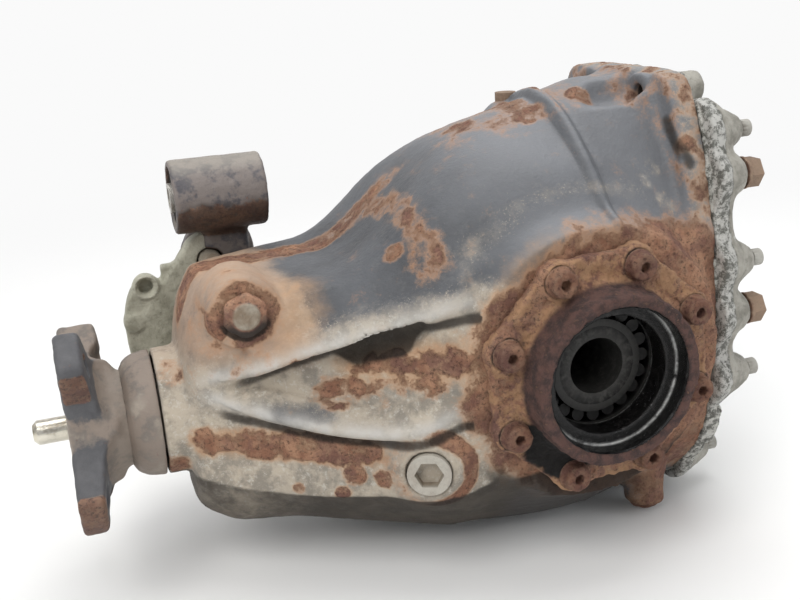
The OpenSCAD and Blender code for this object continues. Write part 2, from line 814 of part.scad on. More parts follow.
module input_flange() {
    hub_front = -nose_len - 47;
    arm_front = hub_front - 3;
    arm_t = 15;
    first_arm = 30.5;
    bearing_face = tail_face - gap;
    color([0.44, 0.42, 0.4]) on_pinion_axis()
    difference() {
        union() {
            for (i = [0 : flange_arms - 1]) rotate([first_arm + i * 360 / flange_arms, 0, 0]) {
                translate([arm_front, 0, -15]) cube([arm_t, flange_bolt_circle_r, 30]);
                translate([0, flange_bolt_circle_r, 0]) intersection() {
                    x_cyl(flange_tip_r - flange_bolt_circle_r, arm_front, arm_front + arm_t);
                    translate([arm_front, -40, -15]) cube([arm_t, 80, 30]);
                }
            }
            x_turned([[0, hub_front], [29, hub_front], [31, hub_front + 14], [28, hub_front + 22],
                      [27, -nose_len - 21], [27, -nose_len - 13], [22, -nose_len - 13], [22, bearing_face],
                      [0, bearing_face]]);
        }
        x_cyl(20, arm_front - 1, hub_front + 16);
        x_cyl(spline_r + gap, hub_front, -100);
        for (i = [0 : flange_arms - 1]) rotate([first_arm + i * 360 / flange_arms, 0, 0])
            translate([0, flange_bolt_circle_r, 0]) x_cyl(6.2, arm_front - 1, arm_front + arm_t + 1);
    }
}

module dust_ring() {
    color([0.5, 0.48, 0.45]) on_pinion_axis()
    x_turned([[27 + gap, -nose_len - 19], [30, -nose_len - 19], [36.5, -nose_len - 12],
              [36.5, -nose_len - 1], [34, -nose_len - 1], [34, -nose_len - 11],
              [27 + gap, -nose_len - 14]]);
}

nut_face = -nose_len - 46;
pin_root_r = centring_pin_r - 0.5;

module pinion_nut() {
    x0 = nut_face;
    color([0.5, 0.48, 0.45]) on_pinion_axis()
    difference() {
        union() {
            translate([x0, 0, 0]) rotate([0, 90, 0])
                cylinder(r = 16 / cos(30), h = 9, $fn = 6);
            x_cyl(19.5, x0 + 9, x0 + 15 - gap);
        }
        x_cyl(spline_r + gap, x0 + 9, x0 + 20);
        x_cyl(pin_root_r + gap, x0 - 1, x0 + 20);
    }
}

module centring_pin() {
    tip = -nose_len - 69;
    color([0.8, 0.79, 0.74]) on_pinion_axis()
    x_turned([[0, tip], [centring_pin_r - 2.5, tip], [centring_pin_r, tip + 2.5],
              [centring_pin_r, nut_face - gap], [pin_root_r, nut_face - gap],
              [pin_root_r, shaft_end - gap], [0, shaft_end - gap]]);
}

// ---------------------------------------------------------------- differential

journal_r = side_bearing[1];
journal_end = side_bearing_y + side_bearing[2] - 2;
case_seat = side_bearing_y - 2 - gap;
case_r = 56;
case_flange_r = 80;
crown_bolt_circle_r = 68;
crown_bolt_count = 10;
case_inner_r = 42;
washer_y = 34;
side_hub_r = 20;

module differential_case() {
    color([0.42, 0.41, 0.4])
    difference() {
        y_turned([[0, -journal_end], [journal_r, -journal_end], [journal_r, -case_seat],
                  [29, -case_seat], [32, -70], [case_r, -46], [case_r, 36],
                  [case_r - gap, 36], [case_r - gap, crown_back_y + gap],
                  [case_flange_r, crown_back_y + gap],
                  [case_flange_r, crown_back_y + 12], [42, crown_back_y + 12],
                  [29, case_seat], [journal_r, case_seat], [journal_r, journal_end],
                  [0, journal_end]]);
        y_cyl(case_inner_r, -washer_y, washer_y);
        translate([0, 0, -spider_back_z - 1.5]) cylinder(r = 23.5, h = 2 * spider_back_z + 3);
        y_cyl(side_hub_r + gap, -60, 60);
        y_cyl(16, -journal_end - 1, journal_end + 1);
        x_cyl(33, -case_r - 1, case_r + 1);
        translate([0, 0, -case_r]) cylinder(r = cross_pin_r + gap, h = 2 * case_r);
        translate([0, 0, 48]) y_cyl(2.5 + gap, -10, 70);
        crown_bolt_circle() translate([0, 0, -20]) cylinder(r = 5.3, h = 40);
    }
}

// Children stand on the case flange's outer face, pointing along +Y
module crown_bolt_circle() {
    for (i = [0 : crown_bolt_count - 1])
        translate([0, crown_back_y + 12, 0]) rotate([-90, 0, 0])
        rotate(i * 360 / crown_bolt_count) translate([crown_bolt_circle_r, 0, 0]) children();
}

module crown_wheel() {
    face_y = 43;
    color([0.6, 0.59, 0.58])
    difference() {
        union() {
            wheel_teeth(HYPOID, face_y + 1);
            y_turned([[case_r, 37], [70.5, 37], [70.5, face_y], [98, face_y],
                      [98, crown_back_y], [case_r, crown_back_y]]);
        }
        crown_bolt_circle() translate([0, 0, -24]) cylinder(r = 5 + gap, h = 40);
    }
}

module crown_wheel_bolts() {
    color([0.3, 0.3, 0.31])
    crown_bolt_circle() translate([0, 0, gap]) hex_bolt(5, 14, 6.5, 23);
}

module cross_pin() {
    color([0.7, 0.7, 0.72])
    difference() {
        translate([0, 0, -case_r + 1]) cylinder(r = cross_pin_r, h = 2 * case_r - 2);
        translate([0, 0, 48]) y_cyl(2.5 + gap, -20, 20);
    }
}

module cross_pin_lock() {
    color([0.6, 0.6, 0.6]) translate([0, 0, 48]) y_cyl(2.5, -9, crown_back_y + 10);
}

module left_bearing_cone() {
    color([0.75, 0.75, 0.78]) left_side() at_side() bearing_cone(side_bearing);
}

module right_bearing_cone() {
    color([0.75, 0.75, 0.78]) right_side() at_side() bearing_cone(side_bearing);
}

module left_rollers() {
    color([0.8, 0.8, 0.83]) left_side() at_side() bearing_rollers(side_bearing);
}

module right_rollers() {
    color([0.8, 0.8, 0.83]) right_side() at_side() bearing_rollers(side_bearing);
}

module side_gear_washers() {
    color([0.72, 0.6, 0.35])
    for (side = [0, 1]) mirror([0, side, 0])
        y_turned([[side_hub_r + 0.3, side_gear_back_y + gap], [31, side_gear_back_y + gap],
                  [31, washer_y - gap], [side_hub_r + 0.3, washer_y - gap]]);
}

module spider_washers() {
    color([0.72, 0.6, 0.35])
    for (side = [0, 1]) mirror([0, 0, side]) translate([0, 0, spider_back_z + gap])
        difference() {
            cylinder(r = 17, h = 1.4);
            translate([0, 0, -1]) cylinder(r = cross_pin_r + 0.3, h = 4);
        }
}

module side_gear() {
    base_y = 27;
    difference() {
        union() {
            wheel_teeth(BEVEL, base_y);
            y_cyl(29.5, base_y - 0.8, side_gear_back_y);
            y_cyl(side_hub_r, side_gear_back_y - 1, 52);
        }
        y_cyl(14, 0, 60);
    }
}

module left_side_gear() {
    color([0.62, 0.62, 0.64]) left_side() side_gear();
}

module right_side_gear() {
    color([0.62, 0.62, 0.64]) right_side() side_gear();
}

// A spider gear on the -X side; its teeth face both side gears
module spider_gear() {
    difference() {
        union() {
            pinion_teeth_body(BEVEL);
            x_cyl(12.5, -spider_back_z, -26);
        }
        x_cyl(cross_pin_r + gap, -60, 0);
    }
}

module upper_spider_gear() {
    color([0.6, 0.6, 0.62]) rotate([0, 90, 0]) spider_gear();
}

module lower_spider_gear() {
    color([0.6, 0.6, 0.62]) rotate([0, -90, 0]) spider_gear();
}

// ---------------------------------------------------------------- pieces

module placed() {
    translate([0, output_y - seal_seat_len / 2, 0]) children();
}

placed() housing();
placed() rear_cover();
placed() cover_sealant();
placed() cover_bolts();
placed() rear_mount_bolts();
placed() left_side_cover();
placed() right_side_cover();
placed() side_cover_bolts();
placed() side_cover_orings();
placed() left_bearing_cup();
placed() right_bearing_cup();
placed() left_shim();
placed() right_shim();
placed() pinion_head_cup();
placed() pinion_tail_cup();
placed() pinion_oil_seal();
placed() fill_plug();
placed() drain_plug();
placed() breather();
placed() mount_bracket();
placed() mount_eye();
placed() mount_rubber();
placed() mount_sleeve();
placed() cross_bolt();
placed() cross_nut();
placed() drive_pinion();
placed() pinion_head_cone();
placed() pinion_head_rollers();
placed() pinion_tail_cone();
placed() pinion_tail_rollers();
placed() crush_sleeve();
placed() pinion_shim();
placed() input_flange();
placed() dust_ring();
placed() pinion_nut();
placed() centring_pin();
placed() differential_case();
placed() crown_wheel();
placed() crown_wheel_bolts();
placed() cross_pin();
placed() cross_pin_lock();
placed() left_bearing_cone();
placed() left_rollers();
placed() right_bearing_cone();
placed() right_rollers();
placed() side_gear_washers();
placed() spider_washers();
placed() left_side_gear();
placed() right_side_gear();
placed() upper_spider_gear();
placed() lower_spider_gear();
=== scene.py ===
import itertools
import json
import math

import bpy
import numpy as np
from mathutils import Matrix, Vector


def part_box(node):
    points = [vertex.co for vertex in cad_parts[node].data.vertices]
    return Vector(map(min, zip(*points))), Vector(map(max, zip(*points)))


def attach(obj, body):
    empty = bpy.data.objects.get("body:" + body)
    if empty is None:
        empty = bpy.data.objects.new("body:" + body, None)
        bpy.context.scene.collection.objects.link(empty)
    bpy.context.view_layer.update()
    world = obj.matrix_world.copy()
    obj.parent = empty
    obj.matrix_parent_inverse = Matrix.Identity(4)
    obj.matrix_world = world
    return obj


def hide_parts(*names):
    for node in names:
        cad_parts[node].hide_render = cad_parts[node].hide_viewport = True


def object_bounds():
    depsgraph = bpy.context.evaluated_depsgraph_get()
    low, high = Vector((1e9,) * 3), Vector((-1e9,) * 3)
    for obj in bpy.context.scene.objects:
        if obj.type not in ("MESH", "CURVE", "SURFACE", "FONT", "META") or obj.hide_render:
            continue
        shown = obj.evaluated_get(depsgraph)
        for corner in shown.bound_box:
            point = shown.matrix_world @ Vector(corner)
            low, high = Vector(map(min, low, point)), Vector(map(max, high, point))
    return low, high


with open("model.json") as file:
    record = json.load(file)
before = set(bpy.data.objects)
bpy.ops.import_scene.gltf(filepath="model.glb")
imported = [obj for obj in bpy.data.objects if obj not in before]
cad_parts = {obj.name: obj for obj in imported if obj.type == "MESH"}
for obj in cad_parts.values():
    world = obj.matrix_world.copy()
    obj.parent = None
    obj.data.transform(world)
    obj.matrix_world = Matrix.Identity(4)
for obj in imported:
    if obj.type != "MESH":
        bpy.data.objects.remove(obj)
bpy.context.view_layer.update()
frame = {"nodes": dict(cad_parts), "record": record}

# ------------------------------------------------------------------ places from the frame
# Shapes are worked out in millimetres about the axle's middle: X to the rear cover, Z up.

MM = 0.001
NODES = frame["nodes"]
MOUNTS = {m["name"]: m for m in frame["record"]["mounts"]}


def mount_place(name):
    return np.array(MOUNTS[name]["pos_m"]) / MM - CENTRE


CENTRE = np.zeros(3)
CENTRE = (mount_place("left_output_bore") + mount_place("right_output_bore")) / 2


def low(node):
    return np.array(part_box(node)[0]) / MM - CENTRE


def high(node):
    return np.array(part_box(node)[1]) / MM - CENTRE


def middle(node):
    return (low(node) + high(node)) / 2


def corners_of(node):
    """Vertices of a CAD piece."""
    return np.array([v.co[:] for v in NODES[node].data.vertices]) / MM - CENTRE


JOINT_X = high("housing")[0]                  # rear joint
NOSE_X = low("housing")[0]                    # front end of the casting
SEAT_Y = high("housing")[1]                   # seats of the side covers, on both sides
OUTPUT_Y = high("right_side_cover")[1]        # faces of the output openings
PINION_Z = mount_place("input_flange_holes")[2]
COVER_X = low("rear_cover")[0]
COVER_BACK_X = high("rear_cover")[0]
BOLT_CIRCLE = 60.0                            # side cover screws
BOLT_ANGLES = [math.radians(26 + 45 * i) for i in range(8)]
SEAL_R = MOUNTS["left_output_bore"]["dims"]["r_mm"]


# ------------------------------------------------------------------ distance fields

def length(*parts):
    total = parts[0] * parts[0]
    for q in parts[1:]:
        total = total + q * q
    return np.sqrt(total)


def join(a, b, k):
    """Union of two solids with a fillet of about k."""
    h = np.maximum(k - np.abs(a - b), 0) / k
    return np.minimum(a, b) - h * h * k * 0.25


def meet(a, b, k):
    """What two solids share, with its edge rounded by about k."""
    return -join(-a, -b, k)


def cut(a, b, k):
    """a without b, with the new edge rounded by about k."""
    return -join(-a, b, k)


def drum(radial, along, r, half, edge):
    """Round disc of radius r, from -half to half, with a rounded edge."""
    q = radial - (r - edge)
    s = np.abs(along) - (half - edge)
    return np.minimum(np.maximum(q, s), 0) + length(np.maximum(q, 0), np.maximum(s, 0)) - edge


def block(x, y, z, half, edge):
    """Box round the origin with rounded edges."""
    q = [np.abs(c) - (h - edge) for c, h in zip((x, y, z), half)]
    outside = length(*[np.maximum(c, 0) for c in q])
    return outside + np.minimum(np.maximum(np.maximum(q[0], q[1]), q[2]), 0) - edge


def rod(x, y, z, a, b, r0, r1):
    """Round bar from a to b whose radius runs from r0 to r1."""
    a, b = np.array(a, float), np.array(b, float)
    d = b - a
    t = np.clip(((x - a[0]) * d[0] + (y - a[1]) * d[1] + (z - a[2]) * d[2]) / (d @ d), 0, 1)
    return length(x - a[0] - t * d[0], y - a[1] - t * d[1], z - a[2] - t * d[2]) - r0 - (r1 - r0) * t


def curve(x, knots):
    """Smooth curve through (x, value) knots, flat beyond both ends, with no overshoot."""
    kx = np.array([k[0] for k in knots], float)
    kv = np.array([k[1] for k in knots], float)
    slope = np.diff(kv) / np.diff(kx)
    tangent = np.zeros(len(kx))
    for i in range(1, len(kx) - 1):
        if slope[i - 1] * slope[i] > 0:
            tangent[i] = 2 / (1 / slope[i - 1] + 1 / slope[i])
    i = np.clip(np.searchsorted(kx, x) - 1, 0, len(kx) - 2)
    h = kx[i + 1] - kx[i]
    t = np.clip((x - kx[i]) / h, 0, 1)
    value = (
        kv[i] * (1 + 2 * t) * (1 - t) ** 2 + kv[i + 1] * t * t * (3 - 2 * t)
        + h * tangent[i] * t * (1 - t) ** 2 - h * tangent[i + 1] * t * t * (1 - t)
    )
    return value.astype(np.float32)


def ramp(v, start, end):
    """0 before start, 1 after end, smooth between them."""
    t = np.clip((v - start) / (end - start), 0, 1)
    return t * t * (3 - 2 * t)


def lattice(points, size, seed=0):
    """Smooth noise from -1 to 1 over (n, 3) points, with grains of the given size."""
    q = points / size + 31.7 * seed
    base = np.floor(q).astype(np.int64)
    t = q - base
    t = t * t * (3 - 2 * t)
    total = np.zeros(len(points))
    for corner in itertools.product((0, 1), repeat=3):
        c = base + np.array(corner)
        h = (c[:, 0] * 73856093) ^ (c[:, 1] * 19349663) ^ (c[:, 2] * 83492791)
        h = (h ^ (h >> 13)) * 1274126177 & 0xFFFFFFFF
        weight = np.prod(np.where(np.array(corner) == 1, t, 1 - t), axis=1)
        total += weight * (h / 2147483648.0 - 1)
    return total


def rough_noise(points, size, seed=0, octaves=3):
    """Several grain sizes of noise on top of each other, each half as large."""
    return sum(lattice(points, size / 2 ** i, seed + i) / 2 ** i for i in range(octaves))


# ------------------------------------------------------------------ from a field to a mesh

BLOCK = 8            # samples along a block's side
FILLET_SLACK = 16    # how far fillets can make the field deeper than the true distance
OFFSETS = np.array(list(itertools.product(range(BLOCK), repeat=3)))


def sample(shape, start, end, step, slack):
    """shape's values on a grid. Blocks far from the surface keep their centre's value."""
    start = np.array(start, float)
    counts = np.ceil((np.array(end, float) - start) / (step * BLOCK)).astype(int)
    centres = [start[i] + step * (BLOCK * np.arange(counts[i]) + (BLOCK - 1) / 2) for i in range(3)]
    coarse = shape(*[c.astype(np.float32) for c in np.meshgrid(*centres, indexing="ij")])
    field = coarse.astype(np.float32)
    for axis in range(3):
        field = np.repeat(field, BLOCK, axis)
    near = np.argwhere(np.abs(coarse) < 1.1 * step * BLOCK + slack)
    for part in np.array_split(near, max(1, len(near) // 1500)):
        index = part[:, None, :] * BLOCK + OFFSETS[None]
        p = (start + step * index).astype(np.float32)
        field[index[..., 0], index[..., 1], index[..., 2]] = shape(p[..., 0], p[..., 1], p[..., 2])
    return field, start


def surface_nets(field, start, step):
    """Vertices and quads of the surface where the field is 0, facing outwards."""
    inside = field < 0
    cells = np.array(field.shape) - 1
    keys, places, flips = [], [], []
    for axis in range(3):
        b, c = (axis + 1) % 3, (axis + 2) % 3
        one = [slice(None)] * 3
        two = [slice(None)] * 3
        one[axis], two[axis] = slice(0, -1), slice(1, None)
        hit = np.argwhere(inside[tuple(one)] != inside[tuple(two)])
        hit = hit[np.all([hit[:, b] > 0, hit[:, b] < cells[b], hit[:, c] > 0, hit[:, c] < cells[c]], 0)]
        unit_step = np.eye(3, dtype=int)[axis]
        f0 = field[tuple(hit.T)]
        f1 = field[tuple((hit + unit_step).T)]
        place = hit + unit_step * (f0 / (f0 - f1))[:, None]
        round_the_edge = [(0, 0), (-1, 0), (-1, -1), (0, -1)]
        for db, dc in round_the_edge:
            cell = hit.copy()
            cell[:, b] += db
            cell[:, c] += dc
            keys.append(np.ravel_multi_index(cell.T, cells))
            places.append(place)
        flips.append(f0 < 0)
    unique, inverse = np.unique(np.concatenate(keys), return_inverse=True)
    places = np.concatenate(places)
    count = np.bincount(inverse)
    points = np.stack([np.bincount(inverse, places[:, i]) / count for i in range(3)], 1)
    quads, used = [], 0
    for flip in flips:
        n = len(flip)
        ring = inverse[used:used + 4 * n].reshape(4, n).T
        quads.append(np.where(flip[:, None], ring, ring[:, ::-1]))
        used += 4 * n
    return start + step * points, np.concatenate(quads)


def new_mesh(name, points, quads):
    """A smooth-shaded object from points in millimetres and quads."""
    mesh = bpy.data.meshes.new(name)
    mesh.vertices.add(len(points))
    mesh.vertices.foreach_set("co", ((points + CENTRE) * MM).astype(np.float32).ravel())
    mesh.loops.add(quads.size)
    mesh.loops.foreach_set("vertex_index", quads.astype(np.int32).ravel())
    mesh.polygons.add(len(quads))
    mesh.polygons.foreach_set("loop_start", np.arange(0, quads.size, 4, dtype=np.int32))
    mesh.update(calc_edges=True)
    mesh.shade_smooth()
    obj = bpy.data.objects.new(name, mesh)
    bpy.context.scene.collection.objects.link(obj)
    return obj


def points_of(obj):
    co = np.empty(len(obj.data.vertices) * 3, np.float32)
    obj.data.vertices.foreach_get("co", co)
    return co.reshape(-1, 3).astype(float) / MM - CENTRE


def normals_of(obj):
    n = np.empty(len(obj.data.vertices) * 3, np.float32)
    obj.data.vertex_normals.foreach_get("vector", n)
    return n.reshape(-1, 3).astype(float)


def push_out(obj, amount):
    """Moves each vertex along its normal by its own amount in millimetres."""
    moved = points_of(obj) + normals_of(obj) * amount[:, None]
    obj.data.vertices.foreach_set("co", ((moved + CENTRE) * MM).astype(np.float32).ravel())
    obj.data.update()


def sculpt(name, shape, start, end, step, slack=FILLET_SLACK):
    """The solid where shape is negative, as an object."""
    field, origin = sample(shape, start, end, step, slack)
    return new_mesh(name, *surface_nets(field, origin, step))


def paint(obj, **masks):
    """Stores values from 0 to 1 at the vertices, for the materials to read."""
    for name, values in masks.items():
        layer = obj.data.attributes.new(name, "FLOAT", "POINT")
        layer.data.foreach_set("value", np.clip(values, 0, 1).astype(np.float32))


def mirrored(obj, name):
    """A copy of obj on the other side of the centre plane."""
    twin = bpy.data.objects.new(name, obj.data.copy())
    bpy.context.scene.collection.objects.link(twin)
    twin.data.transform(Matrix.Translation((0, 2 * CENTRE[1] * MM, 0)) @ Matrix.Diagonal((1, -1, 1, 1)))
    twin.data.flip_normals()
    return twin


# ------------------------------------------------------------------ housing

def joint_corners():
    """Corners of the rear joint's outline as (|y|, z), from the top to the bottom."""
    co = corners_of("cover_sealant")
    pts = sorted({(round(p[1], 1), round(p[2], 1)) for p in co if p[1] >= 0}, reverse=True)
    pts = sorted({(y, z) for y, z in pts}, key=lambda q: (-q[1], q[0]))
    hull = []
    for q in pts:
        while len(hull) > 1:
            (ay, az), (by, bz) = hull[-2], hull[-1]
            if (by - ay) * (q[1] - az) - (bz - az) * (q[0] - ay) < 0:
                break
            hull.pop()
        hull.append(q)
    corners = [hull[0]]
    for q in hull[1:]:
        if math.dist(q, corners[-1]) > 3:
            corners.append(q)
    return corners


JOINT = joint_corners()
TOP_Z = JOINT[0][1] - 1.5
COVER_TOP = JOINT[0][1] - 21                  # the cover ends below the ears


def outline(side, z, k):
    """Distance to the joint's outline, with corners rounded by k."""
    ring = [(0, JOINT[0][1])] + JOINT + [(0, JOINT[-1][1])]
    d = None
    for (ay, az), (by, bz) in zip(ring, ring[1:]):
        size = math.hypot(by - ay, bz - az)
        if size < 0.5:
            continue
        face = ((side - ay) * (az - bz) + (z - az) * (by - ay)) / size
        d = face if d is None else meet(d, face, k)
    return d


# Profiles of the nose and panels along X: half width, top, bottom, upper rib, middle rib, lower edge
HALF_WIDTH = [(-214, 39), (-196, 48), (-72, 100), (-30, 96), (30, 84)]
CREST = [(-216, 14), (-206, 40), (-194, 55), (-130, 57), (-112, 62), (-95, 72), (-79, 87), (-40, 116), (4, 130)]
BELLY = [(-216, -80), (-190, -91), (-142, -99), (-95, -108), (-45, -116), (0, -117.5), (40, -115)]
LEAN = [(-200, 0.02), (-165, 0.1), (-110, 0.55), (-60, 0.9)]
UPPER_RIB = [(-213, 5), (-180, 13), (-155, 22), (-106, 37), (-63, 46), (0, 50)]
MIDDLE_RIB = [(-213, -2), (-182, -9), (-134, -21), (-114, -23), (-94, -20), (-71, -13)]
LOWER_EDGE = [(-215, -50), (-187, -56), (-136, -62), (-86, -62), (-50, -56), (0, -54)]
BELL_R = 112.0
CROSS_BOLT = middle("cross_nut")[[0, 2]]
CROSS_PAD_Y = -57.0
PLUG = middle("fill_plug")
PANEL_SLOPE = (100 - 48) / (196 - 72)
PANEL_NORMAL = np.array([-PANEL_SLOPE, -1, 0]) / math.hypot(PANEL_SLOPE, 1)
EAR_HOLE = (30.0, mount_place("rear_ear_holes")[2])
RIDGE_X = middle("breather")[0] + 3


def wedge(x, side, z):
    """The nose and its slanting panels, without the ribs."""
    w = np.interp(x, *zip(*HALF_WIDTH)).astype(np.float32)
    upper = curve(x, UPPER_RIB)
    lower = curve(x, LOWER_EDGE)
    along = ramp(x, -212, -160) * (1 - ramp(x, -84, -60))
    w = w - 6.5 * along * ramp(upper - z, 0, 7) * ramp(z - curve(x, MIDDLE_RIB), 1, 9)
    lean = curve(x, LEAN)
    d = (side - w) * 0.92
    bevel = (side - w + lean * (z - upper)) / np.sqrt(1 + lean * lean)
    d = meet(d, bevel, 10)
    slope = 0.45 + 0.5 * ramp(x, -205, -150)
    under = (side - w + slope * (lower - z)) / np.sqrt(1 + slope * slope)
    d = meet(d, under, 2)
    d = meet(d, (z - curve(x, CREST)) * 0.8, 22)
    d = meet(d, (curve(x, BELLY) - z) * 0.95, 17)
    d = meet(d, -214 - x, 9)
    return meet(d, x - 40, 10)


def rib(base, x, v, start, end, r, steep):
    """Ridge of radius r along the line v = 0 on a surface, steeper on its lower side."""
    across = np.where(v > 0, v * 0.55, v * steep)
    fade = np.minimum(ramp(x, start, start + 45), 1 - ramp(x, end - 6, end + 4))
    return length(base - 1.5, across) - r * fade + (1 - fade) * 3


def bell(x, side, z):
    around = length(x, z)
    d = drum(around, side, BELL_R, 84, 46)
    return join(d, drum(around, side, 76, SEAT_Y, 2.5), 26)


def roof(x, side, z):
    """The casting between the bell and the rear flange."""
    inset = curve(x, [(-30, 42), (10, 21), (30, 10), (45, 5), (75, 3)])
    d = (outline(side, z, 34) + inset) * 0.85
    d = meet(d, -x - 25, 20)
    return meet(d, x - JOINT_X + 8, 2)


def rear_flange(x, side, z):
    d = meet(outline(side, z, 12), np.abs(x - JOINT_X + 8) - 8, 2)
    ear = drum(length(side - EAR_HOLE[0], z - EAR_HOLE[1] + 2), x - JOINT_X + 13, 15, 13, 3)
    return join(d, ear, 8)


def cross_boss(x, y, z):
    """Round pad of the cross bolt on the near side."""
    around = length(x - CROSS_BOLT[0], z - CROSS_BOLT[1])
    return drum(around, y - CROSS_PAD_Y - 20, 19.5, 20, 2)


def plug_boss(x, y, z):
    """Cone that carries the filler plug."""
    u = (x - PLUG[0]) * PANEL_NORMAL[0] + (y - PLUG[1]) * PANEL_NORMAL[1]
    radial = length((x - PLUG[0]) - u * PANEL_NORMAL[0], (y - PLUG[1]) - u * PANEL_NORMAL[1], z - PLUG[2])
    cone = meet((radial - 17 + 0.75 * (u - 8)) * 0.8, u - 8.5, 3)
    return meet(cone, -u - 25, 2), radial, u


def housing_outside(x, y, z):
    side = np.abs(y)
    d = wedge(x, side, z)
    base = d
    d = join(d, rib(base, x, z - curve(x, UPPER_RIB), -216, -66, 6.5, 1.7), 2)
    d = join(d, rib(base, x, z - curve(x, MIDDLE_RIB), -216, -74, 7.0, 1.6), 2)
    fold = z - curve(x, UPPER_RIB) + 9
    fold_r = 8.5 * ramp(x, -145, -122) * (1 - ramp(x, -98, -80))
    d = cut(d, length(base - 1, fold * 0.8) - fold_r + 6 * (fold_r < 0.5), 3)
    ring = drum(length(y, z - PINION_Z), x - NOSE_X - 20, 36.5, 20, 1.5)
    d = join(d, ring, 5)
    d = join(d, bell(x, side, z), 25)
    d = join(d, roof(x, side, z), 22)
    d = meet(d, side - SEAT_Y + 4, 8)
    d = join(d, drum(length(x, z), side, 76, SEAT_Y, 2.5), 10)
    ridge = length(d, x - RIDGE_X) - 4.2 * ramp(z, 55, 100)
    d = join(d, ridge, 3)
    d = join(d, rear_flange(x, side, z), 9)
    pocket = length((x - JOINT_X + 34) * 0.6, side - EAR_HOLE[0], z - EAR_HOLE[1] - 8) - 15
    d = cut(d, pocket, 5)
    lug = drum(length(side - EAR_HOLE[0], z - EAR_HOLE[1] + 1), x - JOINT_X + 9, 13.5, 8.5, 2)
    d = join(d, lug, 3)
    d = meet(d, z - TOP_Z, 5)
    knob = rod(x, side, z, (66, 74, 60), (80, 78, 56), 7, 8)
    d = join(d, knob, 6)
    boss = cross_boss(x, y, z)
    d = join(d, boss, 5)
    cone, radial, u = plug_boss(x, y, z)
    d = join(d, cone, 9)
    d = cut(d, drum(radial, u - 24, 12.6, 20, 0.5), 1.5)
    drain = middle("drain_plug")
    top = high("drain_plug")[2]
    d = join(d, drum(length(x - drain[0], y - drain[1]), z - top + 2, 12, 14, 2), 7)
    stub = middle("breather")
    mound = length(x - stub[0] + 3, y - stub[1], (z - low("breather")[2] + 3) * 0.8) - 13
    d = join(d, mound, 6)
    spot = drum(length(x - CROSS_BOLT[0], z - CROSS_BOLT[1]), y - CROSS_PAD_Y + 20, 19, 20, 0.5)
    d = cut(d, spot, 1.5)
    return d


def housing_shape(x, y, z):
    side = np.abs(y)
    d = housing_outside(x, y, z)
    around = length(x, z)
    cavity = drum(around, side, BELL_R - 8, 76, 40)
    rear_inset = curve(x, [(18, 52), (JOINT_X, 23)])
    behind = np.maximum(np.maximum(outline(side, z, 20) + rear_inset, 16 - x), z - COVER_TOP + 10)
    cavity = np.minimum(cavity, behind)
    cavity = np.minimum(cavity, around - 50.05)
    about_pinion = length(y, z - PINION_Z)
    head, tail = low("pinion_head_cup"), low("pinion_tail_cup")
    head_r = high("pinion_head_cup")[1]
    tail_r = high("pinion_tail_cup")[1]
    cavity = np.minimum(cavity, np.maximum(about_pinion - head_r, head[0] - x))
    cavity = np.minimum(cavity, np.maximum(about_pinion - tail_r, np.maximum(tail[0] - x, x + 150)))
    cavity = np.minimum(cavity, np.maximum(about_pinion - 26, tail[0] - x))
    cavity = np.minimum(cavity, np.maximum(about_pinion - 32, x - tail[0]))
    holes = length(side - EAR_HOLE[0], z - EAR_HOLE[1]) - 5.6
    holes = np.maximum(holes, JOINT_X - 34 - x)
    d = np.maximum(d, -np.minimum(cavity, holes))
    return np.maximum(np.maximum(d, x - JOINT_X), side - SEAT_Y)


# ------------------------------------------------------------------ covers

def side_cover_shape(x, y, z):
    """Cover on the side of positive Y."""
    around = length(x, z)
    plate = None
    for a in BOLT_ANGLES:
        face = x * math.cos(a + math.pi / 8) + z * math.sin(a + math.pi / 8) - 64.5
        plate = face if plate is None else meet(plate, face, 9)
    plate = meet(plate, np.abs(y - SEAT_Y - 3.5) - 3.4, 1.5)
    for a in BOLT_ANGLES:
        lobe = drum(length(x - BOLT_CIRCLE * math.cos(a), z - BOLT_CIRCLE * math.sin(a)),
                    y - SEAT_Y - 4.5, 10.5, 4.45, 1.2)
        plate = join(plate, lobe, 3)
    collar_r = curve(y, [(SEAT_Y, 53), (SEAT_Y + 12, 48.6), (OUTPUT_Y, 47)])
    collar = meet(around - collar_r, np.abs(y - (SEAT_Y + OUTPUT_Y) / 2) - (OUTPUT_Y - SEAT_Y) / 2, 1.6)
    d = join(plate, collar, 5)
    inner = low("right_side_cover")[1]
    d = np.minimum(d, drum(around, y - (inner + SEAT_Y + 4) / 2, 50, (SEAT_Y + 4 - inner) / 2, 1))
    seal_seat = np.maximum(around - SEAL_R, OUTPUT_Y - 11 - y)
    shoulder = around - 33
    cup_seat = np.maximum(around - 40, y - high("right_bearing_cup")[1] - 1)
    lead_in = around - SEAL_R - (y - OUTPUT_Y + 2)
    d = np.maximum(d, -np.minimum(np.minimum(seal_seat, shoulder), cup_seat))
    return np.maximum(d, -lead_in)


def cover_bosses(node, height):
    """(|y|, z) places of the rear cover's bosses that carry the node's bolts, from bolt points beyond height."""
    co = corners_of(node)
    heads = co[co[:, 0] > height]
    places = []
    for p in heads:
        q = (abs(p[1]), p[2])
        for i, (mean, n) in enumerate(places):
            if math.dist(mean, q) < 14:
                places[i] = (((mean[0] * n + q[0]) / (n + 1), (mean[1] * n + q[1]) / (n + 1)), n + 1)
                break
        else:
            places.append((q, 1))
    return [mean for mean, _ in places]


SCREW_FACE = COVER_X + 30
HEX_FACE = COVER_X + 25
EAR_FACE = COVER_X + 24
SCREW_BOSSES = cover_bosses("cover_bolts", SCREW_FACE + 1)
HEX_BOSSES = cover_bosses("rear_mount_bolts", HEX_FACE + 1)


